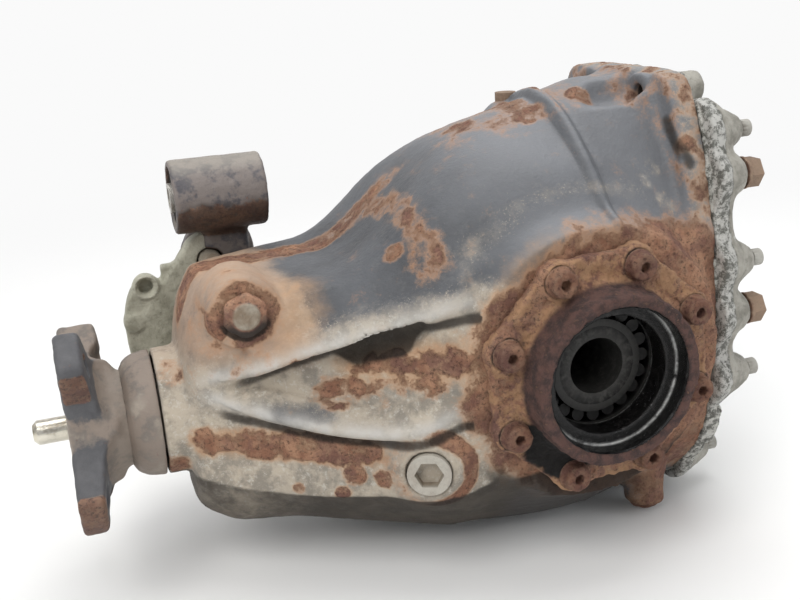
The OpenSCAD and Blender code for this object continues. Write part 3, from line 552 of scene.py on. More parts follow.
def egg(x, side, z, place, face, base, tip):
    """Boss that narrows to a rounded end at x = face."""
    radial = length(side - place[0], z - place[1])
    r = curve(x, [(COVER_X + 3, base), (face - 14, base * 0.6 + tip * 0.4), (face - 5, tip + 2.5), (face, tip)])
    return meet((radial - r) * 0.9, x - face, 4)


def rear_cover_shape(x, y, z):
    side = np.abs(y)
    thin = 5 * ramp(-z, 20, 50)
    rim = meet(outline(side, z, 12) + 0.5, np.abs(x - COVER_X - 5.5 + thin / 2) - 5.5 + thin / 2, 2.5)
    rim = meet(rim, z - COVER_TOP, 4)
    inset = curve(x, [(COVER_X, 12), (COVER_X + 12, 17), (COVER_BACK_X - 8, 34), (COVER_BACK_X, 58)])
    bulge = meet((outline(side, z, 40) + inset) * 0.75, x - COVER_BACK_X + 0.5, 8)
    bulge = np.maximum(meet(bulge, z - COVER_TOP, 8), COVER_X + 0.5 - x)
    d = join(rim, bulge, 8)
    bosses = [egg(x, side, z, q, SCREW_FACE, 18, 7) for q in SCREW_BOSSES]
    bosses += [egg(x, side, z, q, HEX_FACE, 18, 9.5) for q in HEX_BOSSES]
    bosses.append(egg(x, side, z, EAR_HOLE, EAR_FACE, 11.5, 8))
    for boss in bosses:
        d = join(d, np.maximum(boss, COVER_X + 0.5 - x), 7)
    for (ay, az), (by, bz) in WEBS:
        web = rod(x, side, z, (COVER_X + 8, ay, az), (COVER_X + 8, by, bz), 8.5, 8.5)
        d = join(d, np.maximum(web, COVER_X + 0.5 - x), 7)
    depth = curve(x, [(COVER_X, 23), (COVER_BACK_X - 14, 44), (COVER_BACK_X - 8, 62)])
    hollow = np.maximum(outline(side, z, 30) + depth, x - COVER_BACK_X + 7)
    hollow = np.maximum(hollow, z - COVER_TOP + 10)
    for (py, pz) in SCREW_BOSSES + HEX_BOSSES:
        hollow = np.maximum(hollow, 12 - length(side - py, z - pz))
    d = meet(d, z - TOP_Z, 5)
    ears = length(side - EAR_HOLE[0], z - EAR_HOLE[1]) - 5.6
    d = np.maximum(d, -np.minimum(hollow, ears))
    return np.maximum(d, COVER_X - x)


BOSS_RING = sorted(SCREW_BOSSES + HEX_BOSSES, key=lambda q: -q[1])
WEBS = list(zip(BOSS_RING, BOSS_RING[1:]))


def sealant_shape(x, y, z):
    """Squeezed bead round the joint, with a smear over the cover's rim."""
    side = np.abs(y)
    p = np.stack([x, y, z], -1).reshape(-1, 3).astype(float)
    wave = rough_noise(p, 9.0, 3, 2).reshape(x.shape)
    edge = outline(side, z, 12)
    low_part = 4 * ramp(-z, 10, 45)
    band = np.abs(x - JOINT_X - 6.5 + low_part / 2) - 7 + low_part / 2 - 1.6 * wave
    skin = np.maximum(edge - 1.2 - 0.9 * wave, -edge - 2.5)
    top = meet(z - COVER_TOP - 2 - 1.5 * wave, COVER_TOP - 5 - z, 1.5)
    skin = np.where(z > COVER_TOP - 5, np.maximum(top, edge - 1.2), skin)
    return meet(meet(band, skin, 1.5), z - COVER_TOP - 2 - 1.5 * wave, 3)


# ------------------------------------------------------------------ front mount and bracket

EYE = middle("mount_rubber")
EYE_R = (high("mount_rubber")[2] - low("mount_rubber")[2]) / 2 + 4
EYE_HALF = (high("mount_eye")[0] - low("mount_eye")[0]) / 2


def mount_eye_shape(x, y, z):
    dx, dy, dz = x - EYE[0], y - EYE[1], z - EYE[2]
    around = length(dy, dz)
    d = drum(around, dx, EYE_R, EYE_HALF - 0.4, 2)
    foot_low, foot_high = low("mount_eye"), high("mount_eye")
    foot_y = foot_high[1]
    neck = block(dx - 3, y - foot_y + 12, z - EYE[2] + 26, (14, 12, 18), 5)
    neck = meet(neck, EYE[1] - 14 - y, 4)
    d = join(d, neck, 7)
    foot = drum(length(x - CROSS_BOLT[0] - 7, z - CROSS_BOLT[1]), y - foot_y + 5, 23, 5, 2)
    d = join(d, foot, 8)
    hole = np.minimum(around - EYE_R + 4, length(x - CROSS_BOLT[0], z - CROSS_BOLT[1]) - 8.2)
    return np.maximum(d, -hole)


PLATE_CORNERS = [(-176, -20), (-186, 4), (-199, 30), (-207, 38), (-214, 41.5), (-225, 42), (-235, 29), (-239, 4),
                 (-235, -18), (-205, -34)]
PLATE_HOLE = mount_place("bracket_hole")[[0, 2]]


def bracket_shape(x, y, z):
    start, end = low("mount_bracket")[1], high("mount_bracket")[1]
    d = None
    for (ax, az), (bx, bz) in zip(PLATE_CORNERS, PLATE_CORNERS[1:] + PLATE_CORNERS[:1]):
        size = math.hypot(bx - ax, bz - az)
        face = ((x - ax) * (bz - az) - (z - az) * (bx - ax)) / size
        d = face if d is None else meet(d, face, 10)
    d = meet(d, np.abs(y - (start + end) / 2 - 1) - (end - start) / 2 + 1, 2)
    thick = np.abs(y - (start + end) / 2 - 1) - (end - start) / 2 + 1
    arm = rod(x, 0 * y, z, (CROSS_BOLT[0], 0, CROSS_BOLT[1]), (-205, 0, 8), 17.9, 20)
    d = join(d, meet(arm, thick, 2), 4)
    hole = length(x - PLATE_HOLE[0], z - PLATE_HOLE[1])
    d = join(d, drum(hole, y - start - 5, 7.5, 4.8, 1.5), 3)
    stub = length(x - (PLATE_HOLE[0] - 10), z - (PLATE_HOLE[1] - 22))
    d = join(d, drum(stub, y - start - 5, 5.5, 5, 1.5), 3)
    tab = block(x + 206, y - start - 8, z - 40, (4.5, 4, 6), 1.2)
    d = join(d, tab, 3)
    sink = hole - 4.4 - np.maximum(start + 3 - y, 0) * 0.8
    d = np.maximum(d, -np.maximum(sink, y - end + 3))
    return np.maximum(d, 8.3 - length(x - CROSS_BOLT[0], z - CROSS_BOLT[1]))


# ------------------------------------------------------------------ input flange

ARM_FRONT = low("input_flange")[0]
ARM_DEEP = 15.0
HUB_FRONT = ARM_FRONT + 3
NECK_X = high("dust_ring")[0] - 12
HUB_BACK = high("input_flange")[0]
FLANGE_R = length(*(corners_of("input_flange")[:, 1:] - (0, PINION_Z)).T).max()
ARM_HOLE_R = MOUNTS["input_flange_holes"]["dims"]["pcd_mm"] / 2
ARM_ANGLES = [math.radians(30.5 + 90 * i) for i in range(4)]


def flange_shape(x, y, z):
    dz = z - PINION_Z
    radial = length(y, dz)
    hub_r = curve(x, [(HUB_FRONT, 29), (HUB_FRONT + 14, 31), (HUB_FRONT + 22, 28), (NECK_X, 27)])
    d = meet(radial - hub_r, np.abs(x - (HUB_FRONT + NECK_X) / 2) - (NECK_X - HUB_FRONT) / 2, 2)
    d = np.minimum(d, meet(radial - 22, np.abs(x - (NECK_X - 10 + HUB_BACK) / 2) - (HUB_BACK - NECK_X + 10) / 2, 1))
    for a in ARM_ANGLES:
        along = y * math.cos(a) + dz * math.sin(a)
        across = -y * math.sin(a) + dz * math.cos(a)
        width = 15 + 1.5 * ramp(along, 60, 30) + 7 * ramp(-along, -42, -22)
        lug = 8 * ramp(y, 15, 40) * ramp(along, 34, 48)
        back = curve(along, [(20, 25), (34, 18), (48, 15.5), (69, 13.5)]) + lug
        front = 3 * ramp(-along, -36, -24)
        arm = meet(np.abs(across) - width, length(along * 0.9, across) - FLANGE_R * 0.9, 5)
        arm = meet(arm, ARM_FRONT + front - x, 3)
        arm = meet(arm, x - ARM_FRONT - back, 3)
        arm = np.maximum(arm, -along)
        d = join(d, arm, 7)
        spot = drum(length(along - ARM_HOLE_R, across), x - ARM_FRONT, 11, 0.8, 0.3)
        d = np.maximum(d, -spot)
        d = np.maximum(d, 6.2 - length(along - ARM_HOLE_R, across))
    bore = np.minimum(np.maximum(radial - 20, x - HUB_FRONT - 16), radial - 14.1)
    return np.maximum(d, -bore)


def dust_ring_shape(x, y, z):
    start, end = low("dust_ring")[0], high("dust_ring")[0]
    radial = length(y, z - PINION_Z)
    outer = curve(x, [(start, 28), (start + 3, 32), (start + 9, 35.2), (end, 36.3)])
    d = meet((radial - outer) * 0.85, np.abs(x - (start + end) / 2) - (end - start) / 2, 1.2)
    hollow = np.maximum(radial - 31.5, start + 7 - x)
    return np.maximum(d, -np.minimum(hollow, radial - 27.1))


# ------------------------------------------------------------------ materials

def rgb(r, g, b):
    """A colour from its usual 0 to 255 values."""
    return tuple((c / 255 / 12.92) if c < 10.3 else ((c / 255 + 0.055) / 1.055) ** 2.4 for c in (r, g, b)) + (1.0,)


class Finish:
    """One procedural material, built up from patterns in the object's own space."""

    def __init__(self, name):
        self.material = bpy.data.materials.new(name)
        self.material.use_nodes = True
        self.tree = self.material.node_tree
        self.tree.nodes.clear()
        self.space = self.node("ShaderNodeTexCoord").outputs["Object"]

    def node(self, kind, **settings):
        made = self.tree.nodes.new(kind)
        for key, value in settings.items():
            setattr(made, key, value)
        return made

    def put(self, socket, value):
        if isinstance(value, bpy.types.NodeSocket):
            self.tree.links.new(value, socket)
        else:
            socket.default_value = value

    def calc(self, operation, a, b=0.0, c=0.0):
        n = self.node("ShaderNodeMath", operation=operation)
        for socket, value in zip(n.inputs, (a, b, c)):
            self.put(socket, value)
        return n.outputs[0]

    def noise(self, size, detail=5.0, rough=0.55, stretch=(1, 1, 1)):
        """Cloudy pattern with grains of size millimetres."""
        spread = self.node("ShaderNodeMapping")
        spread.inputs["Scale"].default_value = [s / (size * MM) for s in stretch]
        self.put(spread.inputs["Vector"], self.space)
        n = self.node("ShaderNodeTexNoise")
        self.put(n.inputs["Vector"], spread.outputs[0])
        n.inputs["Scale"].default_value = 1.0
        n.inputs["Detail"].default_value = detail
        n.inputs["Roughness"].default_value = rough
        return n.outputs[0]

    def pits(self, size):
        """Distance to scattered points, for pits, flakes and speckles."""
        n = self.node("ShaderNodeTexVoronoi")
        self.put(n.inputs["Vector"], self.space)
        n.inputs["Scale"].default_value = 1 / (size * MM)
        return n.outputs["Distance"]

    def mask(self, name):
        n = self.node("ShaderNodeAttribute", attribute_name=name)
        return n.outputs["Fac"]

    def window(self, value, start, end):
        """0 below start and 1 above end, smooth between."""
        n = self.node("ShaderNodeMapRange", interpolation_type="SMOOTHSTEP")
        self.put(n.inputs["Value"], value)
        n.inputs["From Min"].default_value = start
        n.inputs["From Max"].default_value = end
        return n.outputs[0]

    def mix(self, a, b, share):
        """Colour a where share is 0, b where it is 1."""
        n = self.node("ShaderNodeMix", data_type="RGBA")
        self.put(n.inputs["Factor"], share)
        self.put(n.inputs[6], a)
        self.put(n.inputs[7], b)
        return n.outputs[2]

    def blend(self, a, b, share):
        """Number a where share is 0, b where it is 1."""
        n = self.node("ShaderNodeMix", data_type="FLOAT")
        self.put(n.inputs[0], share)
        self.put(n.inputs[2], a)
        self.put(n.inputs[3], b)
        return n.outputs[0]

    def edges(self, start=0.52, end=0.6):
        """1 on worn outer edges."""
        return self.window(self.node("ShaderNodeNewGeometry").outputs["Pointiness"], start, end)

    def finish(self, colour, roughness, metallic=0.0, bumps=(), coat=0.0, specular=0.5):
        """Ends the material. bumps are (height, depth in millimetres) pairs."""
        shader = self.node("ShaderNodeBsdfPrincipled")
        self.put(shader.inputs["Base Color"], colour)
        self.put(shader.inputs["Roughness"], roughness)
        self.put(shader.inputs["Metallic"], metallic)
        self.put(shader.inputs["Specular IOR Level"], specular)
        self.put(shader.inputs["Coat Weight"], coat)
        shader.inputs["Coat Roughness"].default_value = 0.12
        normal = None
        for height, depth in bumps:
            bump = self.node("ShaderNodeBump")
            bump.inputs["Distance"].default_value = depth * MM
            self.put(bump.inputs["Height"], height)
            if normal is not None:
                self.put(bump.inputs["Normal"], normal)
            normal = bump.outputs[0]
        if normal is not None:
            self.put(shader.inputs["Normal"], normal)
        out = self.node("ShaderNodeOutputMaterial")
        self.tree.links.new(shader.outputs[0], out.inputs["Surface"])
        return self.material


RUST_LIGHT = rgb(170, 130, 104)
RUST_MID = rgb(138, 98, 78)
RUST_DARK = rgb(66, 45, 39)
RUST_PURPLE = rgb(104, 74, 70)
OCHRE = rgb(176, 142, 108)
DUST = rgb(180, 169, 153)
DUST_DARK = rgb(138, 131, 120)
PAINT = rgb(84, 86, 90)
PAINT_DARK = rgb(66, 67, 70)
# dark brown for grime and for painted shade under ribs, between parts and on undersides
SHADE_AND_GRIME = rgb(44, 39, 35)
# near black for oil, also standing for the shade deep in the bore: painted shade
OIL_AND_SHADE_BLACK = rgb(12, 11, 11)


def rust_colour(f):
    """Rust from tan to dark brown: broad clouds, flakes and dark pores."""
    c = f.mix(RUST_LIGHT, RUST_MID, f.window(f.noise(16, 7, 0.66), 0.4, 0.58))
    c = f.mix(c, RUST_PURPLE, f.calc("MULTIPLY", f.window(f.noise(24, 7, 0.7), 0.45, 0.6), 0.7))
    c = f.mix(c, rgb(198, 164, 134), f.calc("MULTIPLY", f.window(f.noise(7, 8, 0.76), 0.52, 0.6), 0.65))
    c = f.mix(c, rgb(104, 72, 60), f.calc("MULTIPLY", f.window(f.noise(7, 8, 0.78), 0.51, 0.62), 0.65))
    return f.mix(c, RUST_DARK, f.calc("MULTIPLY", f.window(f.noise(2.4, 8, 0.8), 0.51, 0.61), 0.8))


def cast_iron_finish():
    """Paint, dust, rust, grime with painted shade, and painted highlights, laid by masks of like names."""
    f = Finish("cast_housing")
    grain = f.calc("SUBTRACT", f.noise(1.4, 5, 0.8), 0.5)
    patch = f.calc("SUBTRACT", f.noise(12, 7, 0.65), 0.5)
    paint = f.mix(PAINT, PAINT_DARK, f.window(f.noise(55, 4, 0.55), 0.4, 0.66))
    paint = f.mix(paint, rgb(108, 108, 108), f.calc("MULTIPLY", f.window(f.noise(7, 7, 0.74), 0.5, 0.75), 0.45))
    # painted highlight: paint lightened on upward faces, the upper rib's crest and the upper rear
    paint = f.mix(paint, rgb(124, 126, 130), f.calc("MULTIPLY", f.mask("pale"), 0.8))
    dust = f.mix(DUST, DUST_DARK, f.window(f.noise(17, 7, 0.7), 0.42, 0.62))
    dust = f.mix(dust, rgb(198, 193, 183), f.calc("MULTIPLY", f.window(f.noise(3.4, 7, 0.77), 0.52, 0.64), 0.6))
    dust = f.mix(dust, rgb(170, 142, 120), f.calc("MULTIPLY", f.mask("blush"), 0.8))
    # the dust is thin film where the mask is low and breaks into grains
    film = f.calc("MULTIPLY", f.mask("dust"), 0.9)
    grains = f.window(f.calc("ADD", f.mask("dust"), f.calc("MULTIPLY", grain, 2.6)), 0.5, 1.0)
    cloudy = f.window(f.calc("ADD", f.mask("dust"), f.calc("MULTIPLY", patch, 1.0)), 0.3, 0.85)
    dusty = f.calc("MAXIMUM", f.calc("MULTIPLY", cloudy, f.calc("ADD", film, 0.1)), f.calc("MULTIPLY", grains, 0.8))
    colour = f.mix(paint, dust, f.calc("MINIMUM", dusty, 1.0))
    stain = f.calc("ADD", f.mask("stain"), f.calc("MULTIPLY", patch, 0.9))
    colour = f.mix(colour, OCHRE, f.calc("MULTIPLY", f.window(stain, 0.2, 1.0), 0.62))
    # painted highlight along the crests of the upper and middle ribs
    colour = f.mix(colour, rgb(192, 190, 186), f.calc("MULTIPLY", f.mask("bright"), 0.75))
    reach = f.calc("ADD", f.mask("rust"), f.calc("ADD", f.calc("MULTIPLY", patch, 1.3), f.calc("MULTIPLY", grain, 0.7)))
    halo = f.window(reach, 0.1, 0.6)
    colour = f.mix(colour, rgb(176, 134, 102), f.calc("MULTIPLY", halo, 0.7))
    rusty = f.window(reach, 0.42, 0.78)
    colour = f.mix(colour, rust_colour(f), f.calc("MULTIPLY", rusty, 0.94))
    colour = f.mix(colour, rgb(104, 70, 58), f.calc("MULTIPLY", f.window(reach, 1.15, 1.5), 0.6))
    # painted shade and grime: darker under the ribs, in the fold, on the underside and inside
    shaded_and_grimy = f.window(f.calc("ADD", f.mask("grime"), f.calc("MULTIPLY", patch, 0.6)), 0.15, 0.95)
    colour = f.mix(colour, SHADE_AND_GRIME, f.calc("MULTIPLY", shaded_and_grimy, 0.9))
    chips = f.window(f.calc("ADD", f.calc("ADD", f.edges(0.5, 0.58), grain), f.mask("chips")), 0.95, 1.15)
    colour = f.mix(colour, rgb(214, 210, 202), f.calc("MULTIPLY", chips, 0.6))
    rough = f.blend(0.5, 0.86, f.calc("MINIMUM", dusty, 1.0))
    rough = f.blend(rough, 0.93, rusty)
    flakes = f.calc("MULTIPLY", f.noise(3.8, 8, 0.74), f.calc("ADD", f.calc("MULTIPLY", rusty, 0.9), 0.1))
    return f.finish(colour, rough, 0.0, [(f.noise(1.8, 5, 0.65), 0.42), (f.noise(8, 6, 0.62), 0.8), (flakes, 1.9)], specular=0.32)


def rusty_cover_finish():
    """Rust outside and black oil with painted shade where the oil mask says; painted shade, glints and ring highlights
    where their masks say.
    """
    f = Finish("rusty_cover")
    colour = f.mix(rust_colour(f), rgb(186, 146, 108), f.calc("MULTIPLY", f.window(f.noise(11, 8, 0.72), 0.46, 0.57), 0.6))
    patch = f.calc("SUBTRACT", f.noise(9, 6, 0.65), 0.5)
    colour = f.mix(colour, DUST, f.calc("MULTIPLY", f.window(f.calc("ADD", f.mask("dust"), patch), 0.5, 0.8), 0.5))
    collar = f.mix(rgb(96, 69, 62), rgb(58, 45, 44), f.window(f.noise(6, 8, 0.76), 0.42, 0.6))
    collar = f.mix(collar, rgb(148, 108, 84), f.calc("MULTIPLY", f.window(f.noise(3, 6, 0.7), 0.55, 0.7), 0.5))
    colour = f.mix(colour, collar, f.mask("collar"))
    # near black where the darkening mask says: painted shade under the collar, round the screw heads and in the oily
    # pocket below the collar
    colour = f.mix(colour, rgb(22, 19, 18), f.window(f.calc("ADD", f.mask("grime"), patch), 0.3, 0.8))
    # oil in the bore, near black also as painted shade of its depth
    oily_and_shaded = f.window(f.calc("ADD", f.mask("oil"), f.calc("MULTIPLY", patch, 0.35)), 0.4, 0.6)
    black = f.mix(OIL_AND_SHADE_BLACK, rgb(52, 50, 49), f.calc("MULTIPLY", f.window(f.noise(3, 7, 0.75), 0.5, 0.68), 0.8))
    # painted glints: bright specks on the oil at the lower inside of the bore
    black = f.mix(black, rgb(160, 160, 162), f.calc("MULTIPLY", f.window(f.noise(1.8, 8, 0.8), 0.58, 0.7), f.mask("wet")))
    colour = f.mix(colour, black, oily_and_shaded)
    colour = f.mix(colour, rgb(176, 176, 174), f.calc("MULTIPLY", f.mask("gleam"), f.window(patch, -0.2, 0.1)))
    rough = f.blend(0.92, f.blend(0.1, 0.34, f.noise(3, 6, 0.7)), oily_and_shaded)
    flakes = f.calc("MULTIPLY", f.noise(3.2, 8, 0.74), f.calc("SUBTRACT", 1.0, f.calc("MULTIPLY", oily_and_shaded, 0.72)))
    return f.finish(colour, rough, f.calc("MULTIPLY", oily_and_shaded, 0.3), [(flakes, 2.6), (f.noise(1.2, 4, 0.6), 0.3)])


def rust_finish(name, dusty, shine=0.0, dark=0.0):
    """Rusty small parts, with some dust or bare metal on their edges."""
    f = Finish(name)
    colour = f.mix(rust_colour(f), rgb(70, 46, 40), dark)
    colour = f.mix(colour, DUST, f.calc("MULTIPLY", f.window(f.noise(5, 6, 0.7), 0.7 - dusty, 0.9 - dusty), 0.6))
    if shine:
        colour = f.mix(colour, rgb(180, 160, 138), f.calc("MULTIPLY", f.edges(), shine))
    return f.finish(colour, 0.85, 0.0, [(f.noise(2.2, 8, 0.74), 1.5)], specular=0.3)


def cast_alloy_finish(name, light, dark, spots=0.35):
    """Dull cast aluminium with stains."""
    f = Finish(name)
    colour = f.mix(light, dark, f.window(f.noise(16, 7, 0.66), 0.38, 0.66))
    colour = f.mix(colour, rgb(84, 84, 76), f.calc("MULTIPLY", f.window(f.noise(3.6, 7, 0.74), 0.52, 0.7), spots))
    colour = f.mix(colour, rgb(205, 203, 196), f.calc("MULTIPLY", f.edges(0.53, 0.62), 0.4))
    crumple = f.noise(4, 8, 0.78)
    smear = f.mix(rgb(202, 201, 196), rgb(112, 112, 106), f.window(crumple, 0.45, 0.57))
    smeared = f.window(f.calc("ADD", f.mask("smear"), f.calc("SUBTRACT", f.noise(5, 6, 0.7), 0.5)), 0.4, 0.6)
    colour = f.mix(colour, smear, smeared)
    colour = f.mix(colour, rust_colour(f), f.mask("rust"))
    colour = f.mix(colour, SHADE_AND_GRIME, f.mask("grime"))
    lumps = f.calc("MULTIPLY", crumple, smeared)
    return f.finish(colour, f.blend(0.55, 0.85, f.noise(7, 4, 0.6)), 0.15,
                    [(f.noise(1.5, 6, 0.7), 0.4), (f.noise(6, 6, 0.6), 0.8), (lumps, 2.0)], specular=0.4)


def sealant_finish():
    f = Finish("sealant")
    crumple = f.noise(4.5, 8, 0.76)
    colour = f.mix(rgb(206, 205, 198), rgb(104, 104, 97), f.window(crumple, 0.44, 0.56))
    colour = f.mix(colour, rgb(66, 66, 60), f.calc("MULTIPLY", f.window(f.noise(6, 8, 0.78), 0.54, 0.62), 0.75))
    colour = f.mix(colour, rgb(232, 232, 228), f.calc("MULTIPLY", f.window(f.noise(3, 6, 0.75), 0.6, 0.72), 0.7))
    return f.finish(colour, f.blend(0.35, 0.8, f.window(f.noise(3, 6, 0.7), 0.4, 0.6)), 0.2,
                    [(crumple, 2.4), (f.noise(1.6, 5, 0.7), 0.6)])


def steel_finish(name, base, rough, metallic=0.9, oil=0.0, lines=(1, 1, 1), tint=None):
    """Machined steel: fine marks, cloudy tone and an optional oil film."""
    f = Finish(name)
    marks = f.noise(1.4, 4, 0.6, lines)
    colour = f.mix(base, tuple(c * 0.55 for c in base[:3]) + (1.0,), f.window(f.noise(14, 6, 0.6), 0.42, 0.7))
    if tint is not None:
        colour = f.mix(colour, tint, f.calc("MULTIPLY", f.window(f.noise(7, 6, 0.68), 0.5, 0.66), 0.8))
    colour = f.mix(colour, rgb(226, 222, 214), f.calc("MULTIPLY", f.edges(), 0.4))
    spread = f.blend(rough * 0.7, min(rough * 1.6, 1.0), f.noise(5, 5, 0.65))
    return f.finish(colour, spread, metallic, [(marks, 0.06), (f.noise(0.7, 3, 0.5), 0.03)], coat=oil)


def oiled_steel_finish(name, base, rough):
    """Steel under dark oil, also made near black as painted shade deep in the bore, brighter only on its edges and
    where the oil has run off.
    """
    f = Finish(name)
    film = f.window(f.noise(4, 7, 0.74), 0.44, 0.66)
    colour = f.mix(OIL_AND_SHADE_BLACK, base, film)
    colour = f.mix(colour, rgb(96, 95, 92), f.calc("MULTIPLY", f.edges(0.54, 0.64), 0.3))
    spread = f.blend(rough * 0.6, min(rough * 1.8, 1.0), f.noise(2.5, 6, 0.7))
    return f.finish(colour, spread, 0.0, [(f.noise(1.2, 5, 0.7), 0.15)], specular=0.22)


def rubber_finish():
    f = Finish("black_rubber")
    colour = f.mix(rgb(30, 29, 28), rgb(64, 60, 55), f.window(f.noise(8, 6, 0.65), 0.5, 0.75))
    return f.finish(colour, 0.82, 0.0, [(f.noise(1.2, 4, 0.6), 0.15)], specular=0.35)


def worn_paint_finish(name, base, under, dust, share, rust=0.35):
    """Painted steel: paint, bare patches under it, dust and rust specks."""
    f = Finish(name)
    patch = f.noise(10, 6, 0.62)
    colour = f.mix(base, under, f.window(patch, 0.47, 0.62))
    colour = f.mix(colour, dust, f.calc("MULTIPLY", f.window(f.noise(20, 6, 0.6), 0.62 - share, 0.8 - share), 0.8))
    colour = f.mix(colour, dust, f.mask("dust"))
    coat = f.window(f.calc("ADD", f.mask("paint"), f.calc("SUBTRACT", f.noise(6, 7, 0.7), 0.5)), 0.35, 0.6)
    colour = f.mix(colour, f.mix(rgb(98, 98, 100), rgb(66, 66, 70), f.noise(10, 6, 0.65)), coat)
    worn = f.window(f.calc("ADD", f.mask("rust"), f.calc("SUBTRACT", f.noise(5, 7, 0.7), 0.5)), 0.35, 0.65)
    colour = f.mix(colour, f.mix(rust_colour(f), rgb(74, 50, 45), 0.75), f.calc("MULTIPLY", worn, 0.85))
    specks = f.window(f.calc("ADD", f.noise(6, 7, 0.72), f.calc("MULTIPLY", f.mask("rust"), 0.35)), 0.62, 0.72)
    colour = f.mix(colour, rust_colour(f), f.calc("MULTIPLY", specks, rust + 0.4))
    # painted shade on the undersides of the mount eye and the flange arms
    colour = f.mix(colour, SHADE_AND_GRIME, f.calc("MULTIPLY", f.mask("grime"), 0.85))
    return f.finish(colour, f.blend(0.42, 0.8, patch), 0.1, [(f.noise(2.4, 6, 0.65), 0.5)], specular=0.45)


FINISHES = {
    "cast_housing": cast_iron_finish(),
    "rusty_cover": rusty_cover_finish(),
    "cover_alloy": cast_alloy_finish("cover_alloy", rgb(166, 163, 154), rgb(126, 123, 114), 0.5),
    "sealant": sealant_finish(),
    "screw_steel": cast_alloy_finish("screw_steel", rgb(150, 148, 140), rgb(104, 98, 88)),
    "rusty_steel": rust_finish("rusty_steel", 0.04, 0.5, 0.62),
    "rusty_screws": rust_finish("rusty_screws", 0.03, 0.4, 0.42),
    "black_rubber": rubber_finish(),
    "bearing_steel": oiled_steel_finish("bearing_steel", rgb(26, 25, 25), 0.3),
    "plug_steel": cast_alloy_finish("plug_steel", rgb(160, 152, 138), rgb(128, 112, 94), 0.4),
    "bracket_alloy": cast_alloy_finish("bracket_alloy", rgb(186, 184, 168), rgb(152, 150, 134), 0.4),
    "eye_steel": worn_paint_finish("eye_steel", rgb(120, 112, 108), rgb(84, 82, 86), rgb(156, 150, 140), 0.05),
    "sleeve_steel": steel_finish("sleeve_steel", rgb(150, 146, 140), 0.35, 0.85),
    "gear_steel": oiled_steel_finish("gear_steel", rgb(30, 29, 28), 0.3),
    "flange_steel": worn_paint_finish("flange_steel", rgb(132, 120, 110), rgb(112, 105, 99), rgb(160, 149, 136), 0.1),
    "pin_steel": steel_finish("pin_steel", rgb(214, 208, 192), 0.2, 1.0, 0.0, (0.3, 2, 2), rgb(150, 136, 112)),
    "case_iron": oiled_steel_finish("case_iron", rgb(56, 54, 52), 0.36),
    "black_bolts": steel_finish("black_bolts", rgb(46, 46, 48), 0.38, 0.6, 0.3),
    "bronze": steel_finish("bronze", rgb(178, 140, 84), 0.28, 0.9, 0.3),
}

SLOT_OF = {part["node"]: part["material_slot"] for part in frame["record"]["subparts"]}


def dress(obj, slot):
    obj.data.materials.clear()
    obj.data.materials.append(FINISHES[slot])


def stand_in(obj, node):
    """obj is shown instead of a CAD node, on the same body and with its finish."""
    body = next(b for b, nodes in frame["record"]["behaviour"]["bodies"].items() if node in nodes)
    dress(obj, SLOT_OF[node])
    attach(obj, body)
    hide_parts(node)
    return obj


# ------------------------------------------------------------------ pieces

def falloff(d, reach):
    """1 at distance 0, 0 beyond reach."""
    return 1 - ramp(d, 0, reach)


def near_path(p, path, r, soft):
    """1 within r of a line through the points of path, fading over soft."""
    d = np.min([rod(*p.T, a, b, 0, 0) for a, b in zip(path, path[1:])], axis=0)
    return falloff(np.maximum(d - r, 0), soft)


def near_spots(p, spots):
    """1 in the middle of each (x, y, z, radius) spot, 0 beyond its radius."""
    return np.max([falloff(np.maximum(length(*(p.T - np.array(q[:3])[:, None])) - q[3] / 2, 0), q[3] / 2)
                   for q in spots], axis=0)


COVER_RUST = [(0, 106), (30, 106), (46, 94), (60, 74), (80, 63), (135, 61), (158, 68), (180, 68), (225, 67), (270, 72),
              (315, 94), (360, 106)]                   # how far rust reaches round the side cover, by angle
HOOK = [(-91, 14, 78), (-86, -12, 83), (-82, -40, 84), (-81, -62, 78), (-85, -80, 64)]
STREAK = [(-208, 6, 38), (-196, 14, 54), (-160, 18, 57), (-130, 18, 58), (-112, 16, 63), (-92, 14, 76), (-76, 12, 90)]
WRITTEN_STRIP = [(-207, -40, -28), (-164, -61, -31), (-124, -79, -36)]
PANEL_LOW = [(-146, -69, 0), (-112, -85, 2), (-84, -103, 6)]
PANEL_HIGH = [(-128, -77, 13), (-100, -88, 14), (-80, -104, 16)]


